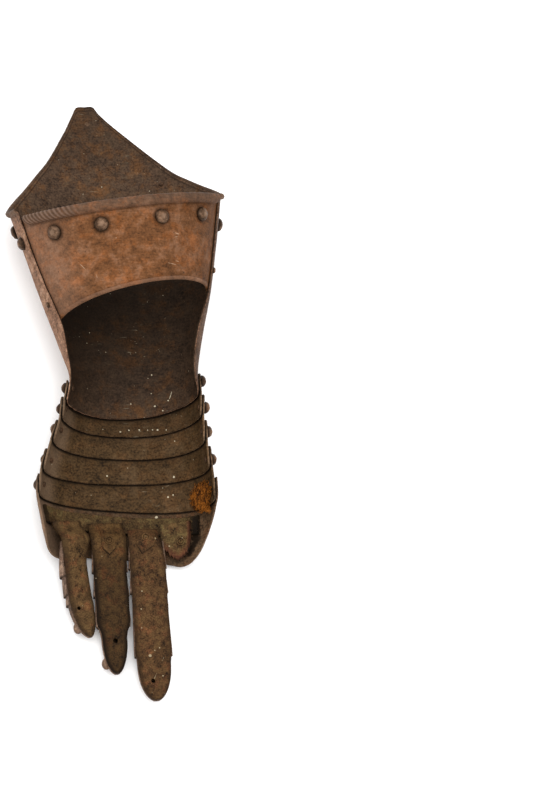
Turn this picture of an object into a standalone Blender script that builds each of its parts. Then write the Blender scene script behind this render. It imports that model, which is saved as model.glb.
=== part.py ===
# Left-hand gauntlet of steel plates, lying on its back: a cuff, four lames, a knuckle plate and
# three fingers of scales on leather.  Metres, +Z up, the fingers towards -Y.  All pieces are laid
# on one form, the inside of the gauntlet, which has its zero at the wrist pivots' middle.
import math

import bmesh
import bpy
from mathutils import Matrix, Vector

plateThick = 0.0012       # steel of the cuff, lames and knuckle plate
scaleThick = 0.0008       # steel of the finger scales
leatherThick = 0.0018
fitGap = 0.0004           # pieces riveted flat together
gapWrist = 0.0020         # between the cuff and the first lame under the back of the wrist
gapBack = 0.0009          # between two lames under the back of the hand
gapSide = 0.0005          # between two lames at their pivots
rimRoll = 0.0017          # radius of the rolled rim of the cuff plate
ropeRoll = 0.0029         # radius of the roped rim of the inner band
borderRoll = 0.0011       # radius of the turned border of the band's arch
bedCentre = Vector((0.00565, -0.0051, 0.0001))   # puts the box's centre over the origin

# The form: y, left and right sides, back (lowest), widest level, palm (highest), roundness.
formColumns = ("y", "left", "right", "back", "middle", "palm", "roundness")
formRows = (
    (-0.112, -0.050, 0.037, 0.0022, 0.026, 0.040, 2.9),
    (-0.104, -0.0555, 0.0405, 0.0021, 0.029, 0.044, 2.9),
    (-0.094, -0.0577, 0.0420, 0.0024, 0.032, 0.050, 2.8),
    (-0.080, -0.0597, 0.0428, 0.0030, 0.035, 0.058, 2.7),
    (-0.066, -0.0607, 0.0420, 0.0040, 0.036, 0.062, 2.6),
    (-0.050, -0.0572, 0.0400, 0.0050, 0.036, 0.063, 2.5),
    (-0.034, -0.0508, 0.0386, 0.0060, 0.036, 0.064, 2.4),
    (-0.017, -0.0438, 0.0382, 0.0071, 0.036, 0.064, 2.2),
    (0.005, -0.0385, 0.0383, 0.0080, 0.036, 0.065, 2.1),
    (0.020, -0.0426, 0.0407, 0.0080, 0.0375, 0.070, 2.1),
    (0.060, -0.0557, 0.0499, 0.0074, 0.042, 0.085, 2.1),
    (0.114, -0.0730, 0.0583, 0.0063, 0.049, 0.102, 2.1),
    (0.205, -0.1015, 0.0740, 0.0046, 0.060, 0.130, 2.1),
)

# Far edge of each plate over the back of the hand: y in the middle, slant across, how much
# further the back reaches than the sides.
edgeColumns = ("plate", "y", "slant", "dip")
edgeRows = (
    ("cuff_plate", -0.0085, 0.0, 0.0050),
    ("lame_1", -0.0206, -0.042, 0.0045),
    ("lame_2", -0.0364, -0.060, 0.0030),
    ("lame_3", -0.0536, -0.045, 0.0016),
    ("lame_4", -0.0715, -0.090, 0.0010),
)
# Pivots of the joint after each of these plates: degrees round the form and y, left and right.
pivotColumns = ("left", "leftY", "right", "rightY", "rightHead")
pivotRows = (
    (-72, 0.0008, 94, 0.0004, "pivot"),
    (-68, -0.0114, 94, -0.0168, "pivot"),
    (-68, -0.0242, 94, -0.0325, "pivot"),
    (-65, -0.0425, 92, -0.0498, "pivot"),
    (-66, -0.0580, 88, -0.0640, "flush"),
)
lapBack, lapSide = 0.008, 0.0145   # how far a plate reaches past the one before
lameReach = (86, 102)              # degrees round the form that a lame covers, left and right
lobeReach = 14                     # degrees over which a lame's end is rounded

# Far edge of the knuckle plate, by degrees round the form from the middle of the back.
knuckleEdge = (
    (-86, -0.0930), (-80, -0.0958), (-70, -0.0985), (-58, -0.1012), (-44, -0.1020), (-30, -0.1015),
    (-18, -0.1005), (-6, -0.1015), (14, -0.1045), (26, -0.1065), (38, -0.1086), (46, -0.1080),
    (54, -0.1055), (62, -0.1005), (70, -0.0935), (78, -0.0865), (86, -0.0798), (94, -0.0735), (102, -0.070),
)
knuckleDrop = 0.030       # over which the knuckle plate closes in again on the form
knuckleShy = 0.25         # share of its depth by which the knuckle plate's ends stop short

# Rim of the cuff plate: y by degrees round the form, up to a blunt point over the back.
rimEdge = (
    (-105, 0.1045), (-90, 0.1075), (-80, 0.1108), (-70, 0.1152), (-60, 0.1213), (-50, 0.1286),
    (-40, 0.1374), (-30, 0.1487), (-20, 0.1621), (-10, 0.1821), (-5, 0.1952), (-3.2, 0.2003), (0, 0.2010),
    (3.2, 0.2010), (5, 0.1962), (10, 0.1875), (20, 0.1732), (30, 0.1606), (40, 0.1500), (50, 0.1427),
    (60, 0.1364), (70, 0.1309), (80, 0.1258), (90, 0.1209), (100, 0.1162), (115, 0.1120),
)
# Degrees round the form that the cuff plate covers each way, by y.
cuffReachLeft = ((-0.014, 84), (0.004, 86), (0.013, 97), (0.026, 106.5), (0.036, 108.5), (0.058, 103.5),
                 (0.080, 101.5), (0.130, 102))
cuffReachRight = ((-0.014, 104), (0.002, 115), (0.016, 120), (0.034, 118), (0.052, 109.5), (0.130, 108.5))
wristCorner = dict(angle=92, run=26, rise=0.010)   # the cuff's wrist edge rises to its corners

# Inner band, by degrees either side of the palm's middle.
band = dict(left=86, right=-80, ropeLeft=72, borderLeft=65, ropeRight=-64, spread=77,
            rim=0.098, rimSlant=0.12, rimRise=0.0095, arch=0.0485, archSlant=0.19, archDip=0.0025)

# Fingers: root and tip in plan, sideways bow, level of the scales' upper edges at both ends,
# half width inside the short scales and the last one, cant at the root in degrees, how much lower
# the strap is at its start and how much wider on each side, where it starts, and the far ends of
# the three short scales.
fingerColumns = ("finger", "rootX", "rootY", "tipX", "tipY", "bow", "rootLevel", "tipLevel",
                 "half", "tipHalf", "cant", "sink", "rootLeft", "rootRight", "start", "ends")
fingerRows = (
    ("little", -0.0412, -0.093, -0.0325, -0.1510, -0.0020, 0.0175, 0.0082, 0.0062, 0.0064, 32, 0.0046,
     0.0012, 0.0038, -0.0130, (0.0205, 0.0320, 0.0378)),
    ("ring", -0.0184, -0.093, -0.0180, -0.1740, 0.0, 0.0109, 0.0082, 0.0092, 0.0070, 3, 0.0052,
     0.0008, 0.0008, -0.0125, (0.0185, 0.0335, 0.0520)),
    ("middle", 0.0051, -0.093, 0.0050, -0.1910, 0.0, 0.0105, 0.0082, 0.0099, 0.0094, 0, 0.0050,
     0.0002, -0.0030, -0.0080, (0.0170, 0.0320, 0.0710)),
)
rootDepth, fullDepth, depthRun = 0.0045, 0.0063, 0.020   # depth of the scales, growing along a run
scaleGap = 0.00035
scaleLap = 0.006
nailLength = 0.020        # rounded end of the last scale and of its strap
leastStep = 0.001         # between two stations of a finger


def rowAt(rows, place):
    """Values of a table at a place in its first column, on a smooth curve through its rows."""
    place = min(max(place, rows[0][0]), rows[-1][0])
    upper = next(i for i in range(1, len(rows)) if place <= rows[i][0])
    low, high = rows[upper - 1], rows[upper]
    before, after = rows[max(upper - 2, 0)], rows[min(upper + 1, len(rows) - 1)]
    span = high[0] - low[0]
    t = (place - low[0]) / span
    values = []
    for k in range(1, len(low)):
        leave = (high[k] - before[k]) / (high[0] - before[0]) * span
        arrive = (after[k] - low[k]) / (after[0] - low[0]) * span
        values.append((2 * t**3 - 3 * t**2 + 1) * low[k] + (t**3 - 2 * t**2 + t) * leave
                      + (3 * t**2 - 2 * t**3) * high[k] + (t**3 - t**2) * arrive)
    return values


def rounded(value, roundness):
    return math.copysign(abs(value) ** (2 / roundness), value)


def onForm(angle, y, offset=0.0):
    """A point of the form at so many degrees round from the back's middle, moved outwards."""
    form = dict(zip(formColumns[1:], rowAt(formRows, y)))
    left, right = form["left"] - offset, form["right"] + offset
    turn = math.radians(angle)
    rise = offset + (form["middle"] - form["back"] if math.cos(turn) > 0 else form["palm"] - form["middle"])
    x = (left + right) / 2 + (right - left) / 2 * rounded(math.sin(turn), form["roundness"])
    return Vector((x, y, form["middle"] - rise * rounded(math.cos(turn), form["roundness"])))


def outwards(angle, y, plate=0):
    """The outward normal of a plate laid on the form."""
    here = onForm(angle, y, lift(plate, angle, y))
    along = onForm(angle, y + 0.001, lift(plate, angle, y + 0.001)) - here
    around = onForm(angle + 1, y, lift(plate, angle + 1, y)) - here
    return along.cross(around).normalized()


# ---- bodies and materials

def material(name, colour, rough, metal):
    made = bpy.data.materials.new(name)
    made.use_nodes = True
    shader = made.node_tree.nodes["Principled BSDF"]
    shader.inputs["Base Color"].default_value = (*colour, 1)
    shader.inputs["Roughness"].default_value = rough
    shader.inputs["Metallic"].default_value = metal
    made.diffuse_color = (*colour, 1)
    return made


finishes = {
    "steel": ((0.13, 0.10, 0.07), 0.55, 0.8),
    "rust": ((0.26, 0.15, 0.09), 0.7, 0.5),
    "leather": ((0.12, 0.085, 0.05), 0.75, 0.0),
    "fibre": ((0.45, 0.17, 0.03), 0.9, 0.0),
}


def addObject(name, mesh, finish, body):
    made = bpy.data.objects.new(name, mesh)
    mesh.materials.append(material(name, *finishes[finish]))
    bpy.context.collection.objects.link(made)
    made.parent = body
    made.matrix_parent_inverse = Matrix.Translation(-Vector(body["bodyPlace"]))
    return made


def closeEnd(shape, ring, pointed):
    """Cap a thin ring with rungs from one long side to the other."""
    i, j = 0, len(ring) - 1
    if pointed:
        shape.faces.new((ring[0], ring[1], ring[j]))
        i = 1
    while j - i > 1:
        rung = (ring[i], ring[i + 1], ring[j]) if j - i == 2 else (ring[i], ring[i + 1], ring[j - 1], ring[j])
        shape.faces.new(rung)
        i, j = i + 1, j - 1


def loft(name, stations, finish, body, lead=0):
    """One closed body through rings of points, each with the same number, and two end caps."""
    shape = bmesh.new()
    rings = [[shape.verts.new(point) for point in station] for station in stations]
    count = len(rings[0])
    for ring, following in zip(rings, rings[1:]):
        for i in range(count):
            j = (i + 1) % count
            shape.faces.new((ring[i], ring[j], following[j], following[i]))
    for ring in (rings[0], rings[-1]):
        closeEnd(shape, ring[lead:] + ring[:lead], lead > 0)
    bmesh.ops.recalc_face_normals(shape, faces=shape.faces[:])
    if shape.calc_volume(signed=True) < 0:
        bmesh.ops.reverse_faces(shape, faces=shape.faces[:])
    bmesh.ops.triangulate(shape, faces=shape.faces[:])
    mesh = bpy.data.meshes.new(name)
    shape.to_mesh(mesh)
    shape.free()
    mesh.shade_smooth()
    mesh.set_sharp_from_angle(angle=math.radians(40))
    return addObject(name, mesh, finish, body)


def lathe(name, profile, sides):
    """A turned mesh about Z from a profile of radius and height, lowest point first."""
    shape = bmesh.new()
    verts = [shape.verts.new((radius, 0, height)) for radius, height in profile]
    edges = [shape.edges.new(pair) for pair in zip(verts, verts[1:])]
    bmesh.ops.spin(shape, geom=verts + edges, angle=2 * math.pi, steps=sides, axis=(0, 0, 1),
                   cent=(0, 0, 0), use_merge=True)
    bmesh.ops.remove_doubles(shape, verts=shape.verts[:], dist=1e-6)
    bmesh.ops.recalc_face_normals(shape, faces=shape.faces[:])
    mesh = bpy.data.meshes.new(name)
    shape.to_mesh(mesh)
    shape.free()
    mesh.shade_smooth()
    mesh.set_sharp_from_angle(angle=math.radians(50))
    return mesh


def facing(place, direction):
    return Matrix.Translation(place) @ direction.to_track_quat("Z", "Y").to_matrix().to_4x4()


rivetSides = 8


def makeHole(plate, place, direction, radius):
    """A round hole through one plate, cut by a hidden rod."""
    mesh = lathe("hole", ((0, -0.004), (radius, -0.004), (radius, 0.004), (0, 0.004)), rivetSides)
    mesh.transform(facing(place, direction))
    rod = bpy.data.objects.new("hole_" + plate.name, mesh)
    bpy.context.collection.objects.link(rod)
    rod.parent = plate.parent
    rod.matrix_parent_inverse = plate.matrix_parent_inverse
    rod.hide_render = True
    rod.display_type = "WIRE"
    cut = plate.modifiers.new("hole", "BOOLEAN")
    cut.object = rod
    cut.operation = "DIFFERENCE"
    cut.solver = "EXACT"


rivetSizes = {            # radius of the head, its height, radius of the shank
    "pivot": (0.0036, 0.0030, 0.0013),
    "flush": (0.0030, 0.0008, 0.0013),
    "band": (0.0045, 0.0032, 0.0014),
    "cuff": (0.0042, 0.0030, 0.0013),
    "joining": (0.0019, 0.0012, 0.0009),
}
rivetSeat = 0.0003        # under the head
holeSlack = 0.0007        # round the shank
burrThick, burrSpread = 0.0006, 1.35   # the shank's hammered inner end


def addRivet(kind, name, place, direction, grip, finish, body, plates):
    """A domed rivet: place is on the outermost plate's outside, grip reaches to its inner end."""
    head, height, shank = rivetSizes[kind]
    burr = shank * burrSpread
    profile = [(0, -grip - burrThick), (burr, -grip - burrThick), (burr, -grip), (shank, -grip),
               (shank, rivetSeat)]
    for degrees in (0, 42, 90):
        turn = math.radians(degrees)
        profile.append((head * math.cos(turn) if degrees < 90 else 0,
                        rivetSeat + height * math.sin(turn)))
    mesh = lathe(name, profile, rivetSides)
    mesh.transform(facing(place, direction))
    addObject(name, mesh, finish, body)
    for plate in plates:
        makeHole(plate, place - direction * grip / 2, direction, shank + holeSlack)


# ---- plates of the cuff and the back of the hand

def edgeOf(plate, angle):
    """Far edge of a plate: y at so many degrees round the form."""
    if plate == len(edgeRows):
        return rowAt(knuckleEdge, angle)[0]
    row = dict(zip(edgeColumns, edgeRows[plate]))
    x = onForm(angle, row["y"]).x
    return row["y"] + row["slant"] * x - row["dip"] * max(math.cos(math.radians(angle)), 0) ** 2


def backShare(angle):
    return max(math.cos(math.radians(angle)), 0) ** 2


def stepOf(plate, angle):
    """From the inside of the plate before to the inside of this one, further out."""
    gap = gapWrist if plate == 1 else gapBack
    return plateThick + gapSide + (gap - gapSide) * math.sqrt(backShare(angle))


def lift(plate, angle, y):
    """How far a plate's inside stands off the form: each lies outside the one before."""
    if plate == 0:
        return 0.0
    before = edgeOf(plate - 1, angle)
    if y > before:
        return stepOf(plate, angle) + lift(plate - 1, angle, y)
    run = before - edgeOf(plate, angle) if plate < len(edgeRows) else knuckleDrop
    return stepOf(plate, angle) * max(1 + (y - before) / run, 0)


def nearEdge(plate, angle):
    return edgeOf(plate - 1, angle) + lapSide + (lapBack - lapSide) * backShare(angle)


def endsOf(plate, angle):
    """Far and near edge of a hand plate, drawn together where its ends are rounded."""
    far, near = edgeOf(plate, angle), nearEdge(plate, angle)
    over = max(abs(angle) - lameReach[angle > 0] + lobeReach - 2, 0) / lobeReach
    if plate == len(edgeRows):
        return far, near - (near - far) * knuckleShy * over
    centre = (near + far) / 2
    return (centre + (far - centre) * math.sqrt(1 - over**4),
            centre + (near - centre) * math.sqrt(1 - over**2))


def handPlate(name, plate, angles, rows, body):
    stations = []
    for angle in angles:
        far, near = endsOf(plate, angle)
        ys = [far + (near - far) * i / (rows - 1) for i in range(rows)]
        inside = [onForm(angle, y, lift(plate, angle, y)) for y in ys]
        outside = [onForm(angle, y, lift(plate, angle, y) + plateThick) for y in reversed(ys)]
        stations.append(inside + outside)
    return loft(name, stations, "steel", body)


def rollPoints(angle, y, facingY, base, thick, radius, steps):
    """Section of a rolled edge: round from the inside of the plate to its outside."""
    start, stop = -90, 180 - math.degrees(math.asin((thick - radius) / radius))
    points = []
    for i in range(steps + 1):
        turn = math.radians(start + (stop - start) * i / steps)
        along = y - facingY * radius * (1 - math.cos(turn))
        points.append(onForm(angle, along, base + radius * (1 + math.sin(turn))))
    return points


def rimOf(angle):
    """Rim of the cuff plate: y at so many degrees round the form."""
    return rowAt(rimEdge, angle)[0]


def cuffPlate(body):
    shares = (0, 0.08, 0.17, 0.34, 0.50, 0.70)
    halfSteps = (3.2, 7.5, 13, 20, 28, 38, 49, 60, 71, 82, 90, 97.5, 105)
    turns = [-t for t in reversed(halfSteps)] + [0] + list(halfSteps)
    stations = []
    for turn in turns:
        reach = cuffReachLeft if turn < 0 else cuffReachRight

        def angleAt(y):
            return turn * rowAt(reach, y)[0] / halfSteps[-1]
        near = rimOf(angleAt(cuffReachLeft[-1][0]))
        far = edgeOf(0, angleAt(edgeRows[0][1]))
        past = max(abs(angleAt(0)) - wristCorner["angle"], 0) / wristCorner["run"]
        far += wristCorner["rise"] * past**2
        ys = [far + (near - far) * share for share in shares] + [near - rimRoll * 1.3]
        inside = [onForm(angleAt(y), y) for y in ys[:-1]]
        roll = rollPoints(angleAt(near), near, 1, 0, plateThick, rimRoll, 6)
        outside = [onForm(angleAt(y), y, plateThick) for y in reversed(ys[:-1])]
        stations.append(inside + roll + outside)
    return loft("cuff_plate", stations, "steel", body)


def bandEdges(turn):
    """Rope rim and arch of the inner band: y at degrees from the palm's middle, left positive."""
    spread = (turn / band["spread"]) ** 2
    high = band["rim"] + band["rimSlant"] * onForm(180 + turn, band["rim"]).x + band["rimRise"] * spread
    low = band["arch"] + band["archSlant"] * onForm(180 + turn, band["arch"]).x - band["archDip"] * spread
    return high, low


def innerBand(body):
    base = -fitGap - plateThick
    freeTurns = [band["ropeRight"] + (band["ropeLeft"] - band["ropeRight"]) * i / 13 for i in range(14)]
    turns = [band["right"], -74, -69] + freeTurns + [76, 81, band["left"]]
    stations = []
    for turn in turns:
        high, low = bandEdges(turn)
        angle = 180 + turn
        top = ropeRoll if band["ropeRight"] <= turn <= band["ropeLeft"] else plateThick / 2
        bottom = borderRoll if band["ropeRight"] <= turn <= band["borderLeft"] else plateThick / 2
        ys = [low + borderRoll * 2 + (high - ropeRoll * 2 - low - borderRoll * 2) * i / 3 for i in range(4)]
        inside = [onForm(angle, y, base) for y in ys]
        outside = [onForm(angle, y, base + plateThick) for y in reversed(ys)]
        rope = rollPoints(angle, high, 1, base, plateThick, top, 6)
        border = rollPoints(angle, low, -1, base, plateThick, bottom, 4)[::-1]
        stations.append(inside + rope + outside + border)
    return loft("inner_band", stations, "rust", body, lead=17)


# ---- leather and fingers

def layOnKnuckles(name, angles, near, far, below, thick, finish, body):
    """A strip inside the knuckle plate: near and far give its edges' y at an angle."""
    plate = len(edgeRows)
    stations = []
    for angle in angles:
        ys = [far(angle) + (near(angle) - far(angle)) * i / 3 for i in range(4)]
        lifts = [lift(plate, angle, y) - below for y in ys]
        inside = [onForm(angle, y, up - thick) for y, up in zip(ys, lifts)]
        outside = [onForm(angle, y, up) for y, up in zip(reversed(ys), reversed(lifts))]
        stations.append(inside + outside)
    return loft(name, stations, finish, body)


def fingerFrame(row):
    root = Vector((row["rootX"], row["rootY"], 0))
    along = Vector((row["tipX"], row["tipY"], 0)) - root
    length = along.length
    along.normalize()
    across = Vector((-along.y, along.x, 0))
    if across.x < 0:
        across.negate()
    return root, along, across, length


def eased(share):
    share = min(max(share, 0), 1)
    return 3 * share**2 - 2 * share**3


def fingerPoint(row, place, side, height):
    """A point of a finger: place along it, side across it, height above its scales' edges."""
    root, along, across, length = fingerFrame(row)
    share = min(max(place / length, 0), 1)
    level = row["rootLevel"] + (row["tipLevel"] - row["rootLevel"]) * (1.5 * share - 0.5 * share**2)
    tilt = math.tan(math.radians(row["cant"])) * (1 - share**2)
    swing = row["bow"] * 4 * share * (1 - share)
    return root + along * place + across * (side + swing + height * tilt) + Vector(
        (0, 0, level + height - side * tilt))


def nailShare(row, place, grow=0.0):
    """How much of its width a finger still has, rounded off towards the tip."""
    length = fingerFrame(row)[3] - scaleThick + grow
    past = max(place - (length - nailLength), 0) / nailLength
    return math.sqrt(max(1 - past**1.8, 0.0004))


def fingerHalf(row, place):
    """Half width of a finger's inside before its tip."""
    return row["half"] + (row["tipHalf"] - row["half"]) * eased((place - row["ends"][2]) / 0.014 + 0.4)


def spaced(places):
    """Places in order, without those that nearly repeat the one before."""
    kept = []
    for place in sorted(places):
        if not kept or place - kept[-1] > leastStep:
            kept.append(place)
    return kept


def scaleRise(row, index, place):
    """How far a scale's inside stands off the finger's: each lies inside the one before."""
    ends = row["ends"]
    step = scaleThick + scaleGap
    before = ends[index - 1] if index else 0.0
    if place < before:
        return scaleRise(row, index - 1, place) - step
    if index == len(ends):
        return 0.0
    return step * (place - before) / (ends[index] - before)


def fingerScale(row, index, body):
    """One trough of steel round the back of a finger; the last one is closed at the tip."""
    length = fingerFrame(row)[3]
    ends = list(row["ends"]) + [length - scaleThick]
    start = ends[index - 1] - scaleLap if index else 0.0
    stop = ends[index]
    last = index == len(ends) - 1
    places = [start + (stop - start) * i / 3 for i in range(4)]
    if index:
        places[1] = ends[index - 1]
    if last:
        bend = stop - nailLength
        places = spaced([start, ends[index - 1], (ends[index - 1] + bend) / 2] + [
            bend + nailLength * math.sin(math.radians(t)) for t in (0, 28, 52, 70, 86)])
    stations = []
    for place in places:
        rise = scaleRise(row, index, place)
        depth = rootDepth + (fullDepth - rootDepth) * eased(place / depthRun)
        ring = []
        for grow, turns in ((rise, range(-90, 91, 30)), (rise + scaleThick, range(90, -91, -30))):
            share = nailShare(row, place, grow) if last else 1
            half = (fingerHalf(row, place) + grow) * share
            deep = (depth + grow) * min(share * 1.15, 1)
            for turn in turns:
                t = math.radians(turn)
                ring.append(fingerPoint(row, place, half * rounded(math.sin(t), 2.4),
                                        -deep * rounded(math.cos(t), 2.4)))
        stations.append(ring)
    if last:
        middle = sum(stations[-1], Vector()) / len(stations[-1])
        onwards = fingerFrame(row)[1] * 0.0006
        stations.append([point + onwards - (point - middle) * 0.35 for point in stations[-1]])
    part = "tip" if last else str(index + 1)
    return loft("scale_" + row["finger"] + "_" + part, stations, "steel", body)


strapOver = 0.0009        # how far a strap covers the edges of the short scales
strapTip = 0.0005         # and those of the last one
strapCrown = 0.0012       # rise of a strap in its middle


def fingerStrap(row, body):
    """A leather strap on the edges of a finger's scales."""
    length = fingerFrame(row)[3] - scaleThick + strapTip
    third = row["ends"][2]
    bend = length - nailLength
    places = spaced([row["start"], -0.006, 0.0, 0.006, 0.015, third, third + 0.004] + [
        bend + nailLength * math.sin(math.radians(t)) for t in (0, 28, 52, 70, 84)])
    stations = []
    for place in places:
        last = eased((place - third) / 0.004)
        half = fingerHalf(row, place) + strapOver + (strapTip - strapOver) * last
        half *= nailShare(row, place, strapTip) if last else 1
        low = scaleGap - row["sink"] * eased((-0.0005 - place) / 0.011)
        wide = eased((0.014 - place) / 0.018)
        under, over = [], []
        for i in range(5):
            side = -1 + i / 2
            crown = strapCrown * (1 - side**2)
            reach = (half + wide * row["rootLeft" if side < 0 else "rootRight"]) * side
            under.append(fingerPoint(row, place, reach, low + crown))
            over.append(fingerPoint(row, place, reach, low + crown + leatherThick))
        stations.append(under + over[::-1])
    return loft("strap_" + row["finger"], stations, "leather", body)


def thumbRemnant(body):
    """A matted pad of fibre left where the thumb's lining was, on the last lame's wall."""
    centre, reach, width = -0.0685, 0.0082, 13
    angles = [69 + width * t for t in (-1, -0.8, -0.4, 0, 0.4, 0.8, 1)]
    stations = []
    for angle in angles:
        share = math.sqrt(max(1 - ((angle - 69) / width) ** 2, 0.06))
        ring = []
        for turn in range(0, 360, 45):
            t = math.radians(turn)
            y = centre + reach * share * math.cos(t)
            base = lift(4, angle, y)
            ring.append(onForm(angle, y, base - 0.0026 + 0.0020 * share * math.sin(t)))
        stations.append(ring)
    return loft("thumb_remnant", stations, "fibre", body)


# ---- the whole

for old in list(bpy.data.objects):
    bpy.data.objects.remove(old, do_unlink=True)


def addBody(name, place, parent=None):
    """An empty that carries a body's pieces, on its joint's axis."""
    made = bpy.data.objects.new(name, None)
    bpy.context.collection.objects.link(made)
    made["bodyPlace"] = place
    made.location = place + (bedCentre if parent is None else -Vector(parent["bodyPlace"]))
    made.parent = parent
    return made


def pivotPlace(joint, side):
    """Where a pivot sits: its degrees round the form and its y."""
    row = dict(zip(pivotColumns, pivotRows[joint]))
    return (row["left"], row["leftY"]) if side < 0 else (row["right"], row["rightY"])


def pivotMiddle(joint, side):
    """The middle of a pivot's grip, between the two plates that it joins."""
    angle, y = pivotPlace(joint, side)
    return onForm(angle, y, (lift(joint, angle, y) + lift(joint + 1, angle, y) + plateThick) / 2)


cuff = addBody("cuff", Vector((0, 0, 0)))
bodies = [cuff]
for joint, label in enumerate(("lame_1_axis", "lame_2_axis", "lame_3_axis", "lame_4_axis", "knuckle_axis")):
    ends = [pivotMiddle(joint, side) for side in (-1, 1)]
    bodies.append(addBody(label, (ends[0] + ends[1]) / 2, bodies[-1]))

lameAngles = [-86, -82, -75, -64, -52, -36, -18, 0, 18, 36, 54, 68, 80, 90, 98, 102]
knuckleAngles = [-86, -80, -72, -62, -52, -40, -28, -14, 0, 14, 26, 38, 49, 59, 69, 79, 88, 96, 102]

plates = [cuffPlate(cuff)]
for plate in range(1, 5):
    plates.append(handPlate("lame_%d" % plate, plate, lameAngles, 4, bodies[plate]))
plates.append(handPlate("knuckle_plate", 5, knuckleAngles, 6, bodies[5]))
bandPlate = innerBand(cuff)

# Pivots: each joins a plate to the next one out.
for joint in range(5):
    for side, sideName in ((-1, "left"), (1, "right")):
        angle, y = pivotPlace(joint, side)
        stand, inner = lift(joint + 1, angle, y), lift(joint, angle, y)
        place = onForm(angle, y, stand + plateThick)
        direction = outwards(angle, y, joint + 1)
        kind = "pivot" if side < 0 else pivotRows[joint][-1]
        addRivet(kind, "pivot_%d_%s" % (joint + 1, sideName), place, direction,
                 stand + plateThick - inner + fitGap, "steel", bodies[joint + 1],
                 (plates[joint], plates[joint + 1]))

# Lining rivets along the inner band, under its rope.
for number, turn in enumerate((50.5, 18.5, -16.5, -48), start=1):
    y = bandEdges(turn)[0] - 0.0125
    angle = 180 + turn
    addRivet("band", "band_rivet_%d" % number, onForm(angle, y, -fitGap), outwards(angle, y),
             plateThick + fitGap, "rust", cuff, (bandPlate,))

# Lining rivets along the cuff plate's rim, the middle one at its point.
for number, (angle, below) in enumerate(((-92, 0.020), (-72, 0.014), (-33, 0.014), (0, 0.013),
                                         (33, 0.014), (72, 0.014), (92, 0.020)), start=1):
    y = rimOf(angle) - below
    addRivet("cuff", "cuff_rivet_%d" % number, onForm(angle, y, plateThick), outwards(angle, y),
             plateThick + fitGap, "steel", cuff, (plates[0],))

# Two small rivets join the band to the cuff plate.
for sideName, angle, y in (("left", -99, 0.047), ("right", 105, 0.067)):
    addRivet("joining", "joining_rivet_" + sideName, onForm(angle, y, plateThick), outwards(angle, y),
             plateThick * 2 + fitGap * 2, "rust", cuff, (plates[0], bandPlate))

knuckles = bodies[5]
strapAngles = [-64, -52, -40, -28, -14, 0, 14, 28, 40, 52, 62]
layOnKnuckles("knuckle_strap", strapAngles, lambda angle: edgeOf(4, angle) - 0.0036,
              lambda angle: edgeOf(4, angle) - 0.0150, fitGap, leatherThick, "leather", knuckles)
stubAngles = [27, 32, 37, 42, 47, 52, 57]
tears = dict(zip(stubAngles, (0.0, 0.0025, 0.0006, -0.0022, -0.0008, -0.0030, -0.0012)))
layOnKnuckles("index_stub", stubAngles, lambda angle: -0.0815,
              lambda angle: -0.1005 - tears[angle], fitGap * 2 + leatherThick, leatherThick,
              "leather", knuckles)
thumbRemnant(bodies[4])

for values in fingerRows:
    finger = dict(zip(fingerColumns, values))
    fingerStrap(finger, knuckles)
    for index in range(len(finger["ends"]) + 1):
        fingerScale(finger, index, knuckles)
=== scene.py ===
import math
import random
from contextlib import contextmanager

import bpy
from mathutils import Matrix, Vector, noise


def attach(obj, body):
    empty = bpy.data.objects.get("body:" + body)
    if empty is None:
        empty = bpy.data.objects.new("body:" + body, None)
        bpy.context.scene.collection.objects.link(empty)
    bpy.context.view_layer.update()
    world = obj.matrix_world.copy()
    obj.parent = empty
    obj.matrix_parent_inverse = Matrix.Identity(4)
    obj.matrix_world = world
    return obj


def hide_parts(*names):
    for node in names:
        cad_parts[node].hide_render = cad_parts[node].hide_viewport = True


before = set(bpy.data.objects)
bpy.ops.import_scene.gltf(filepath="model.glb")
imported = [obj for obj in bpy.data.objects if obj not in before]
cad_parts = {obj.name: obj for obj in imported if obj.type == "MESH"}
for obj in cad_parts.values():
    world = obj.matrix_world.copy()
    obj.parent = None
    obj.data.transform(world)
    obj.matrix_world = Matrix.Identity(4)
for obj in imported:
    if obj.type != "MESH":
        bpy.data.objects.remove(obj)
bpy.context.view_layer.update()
print("frame loaded")

paintPlan = dict(specular=0.07, bump=0.9)
# a mark's outline, in metres for each mm of its size: raggedness, where it fades, where it ends
spotEdge = dict(ragged=0.0012, solid=0.0006, gone=0.0011)
lineEdge = dict(ragged=0.0020, solid=0.0005, gone=0.0012)


class Value:
    # a socket that can be added, multiplied and so on with numbers and other sockets
    def __init__(self, paint, socket):
        self.paint, self.socket = paint, socket

    def maths(self, operation, other, swapped=False):
        pair = {0: other, 1: self} if swapped else {0: self, 1: other}
        return self.paint.node("ShaderNodeMath", {"operation": operation}, pair)

    def __rsub__(self, other):
        return self.maths("SUBTRACT", other, True)


def operator(operation):
    return lambda value, other: value.maths(operation, other)


for method, operation in (
        ("__add__", "ADD"), ("__radd__", "ADD"), ("__sub__", "SUBTRACT"), ("__mul__", "MULTIPLY"),
        ("__rmul__", "MULTIPLY"), ("__gt__", "GREATER_THAN"), ("highest", "MAXIMUM")):
    setattr(Value, method, operator(operation))


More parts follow.
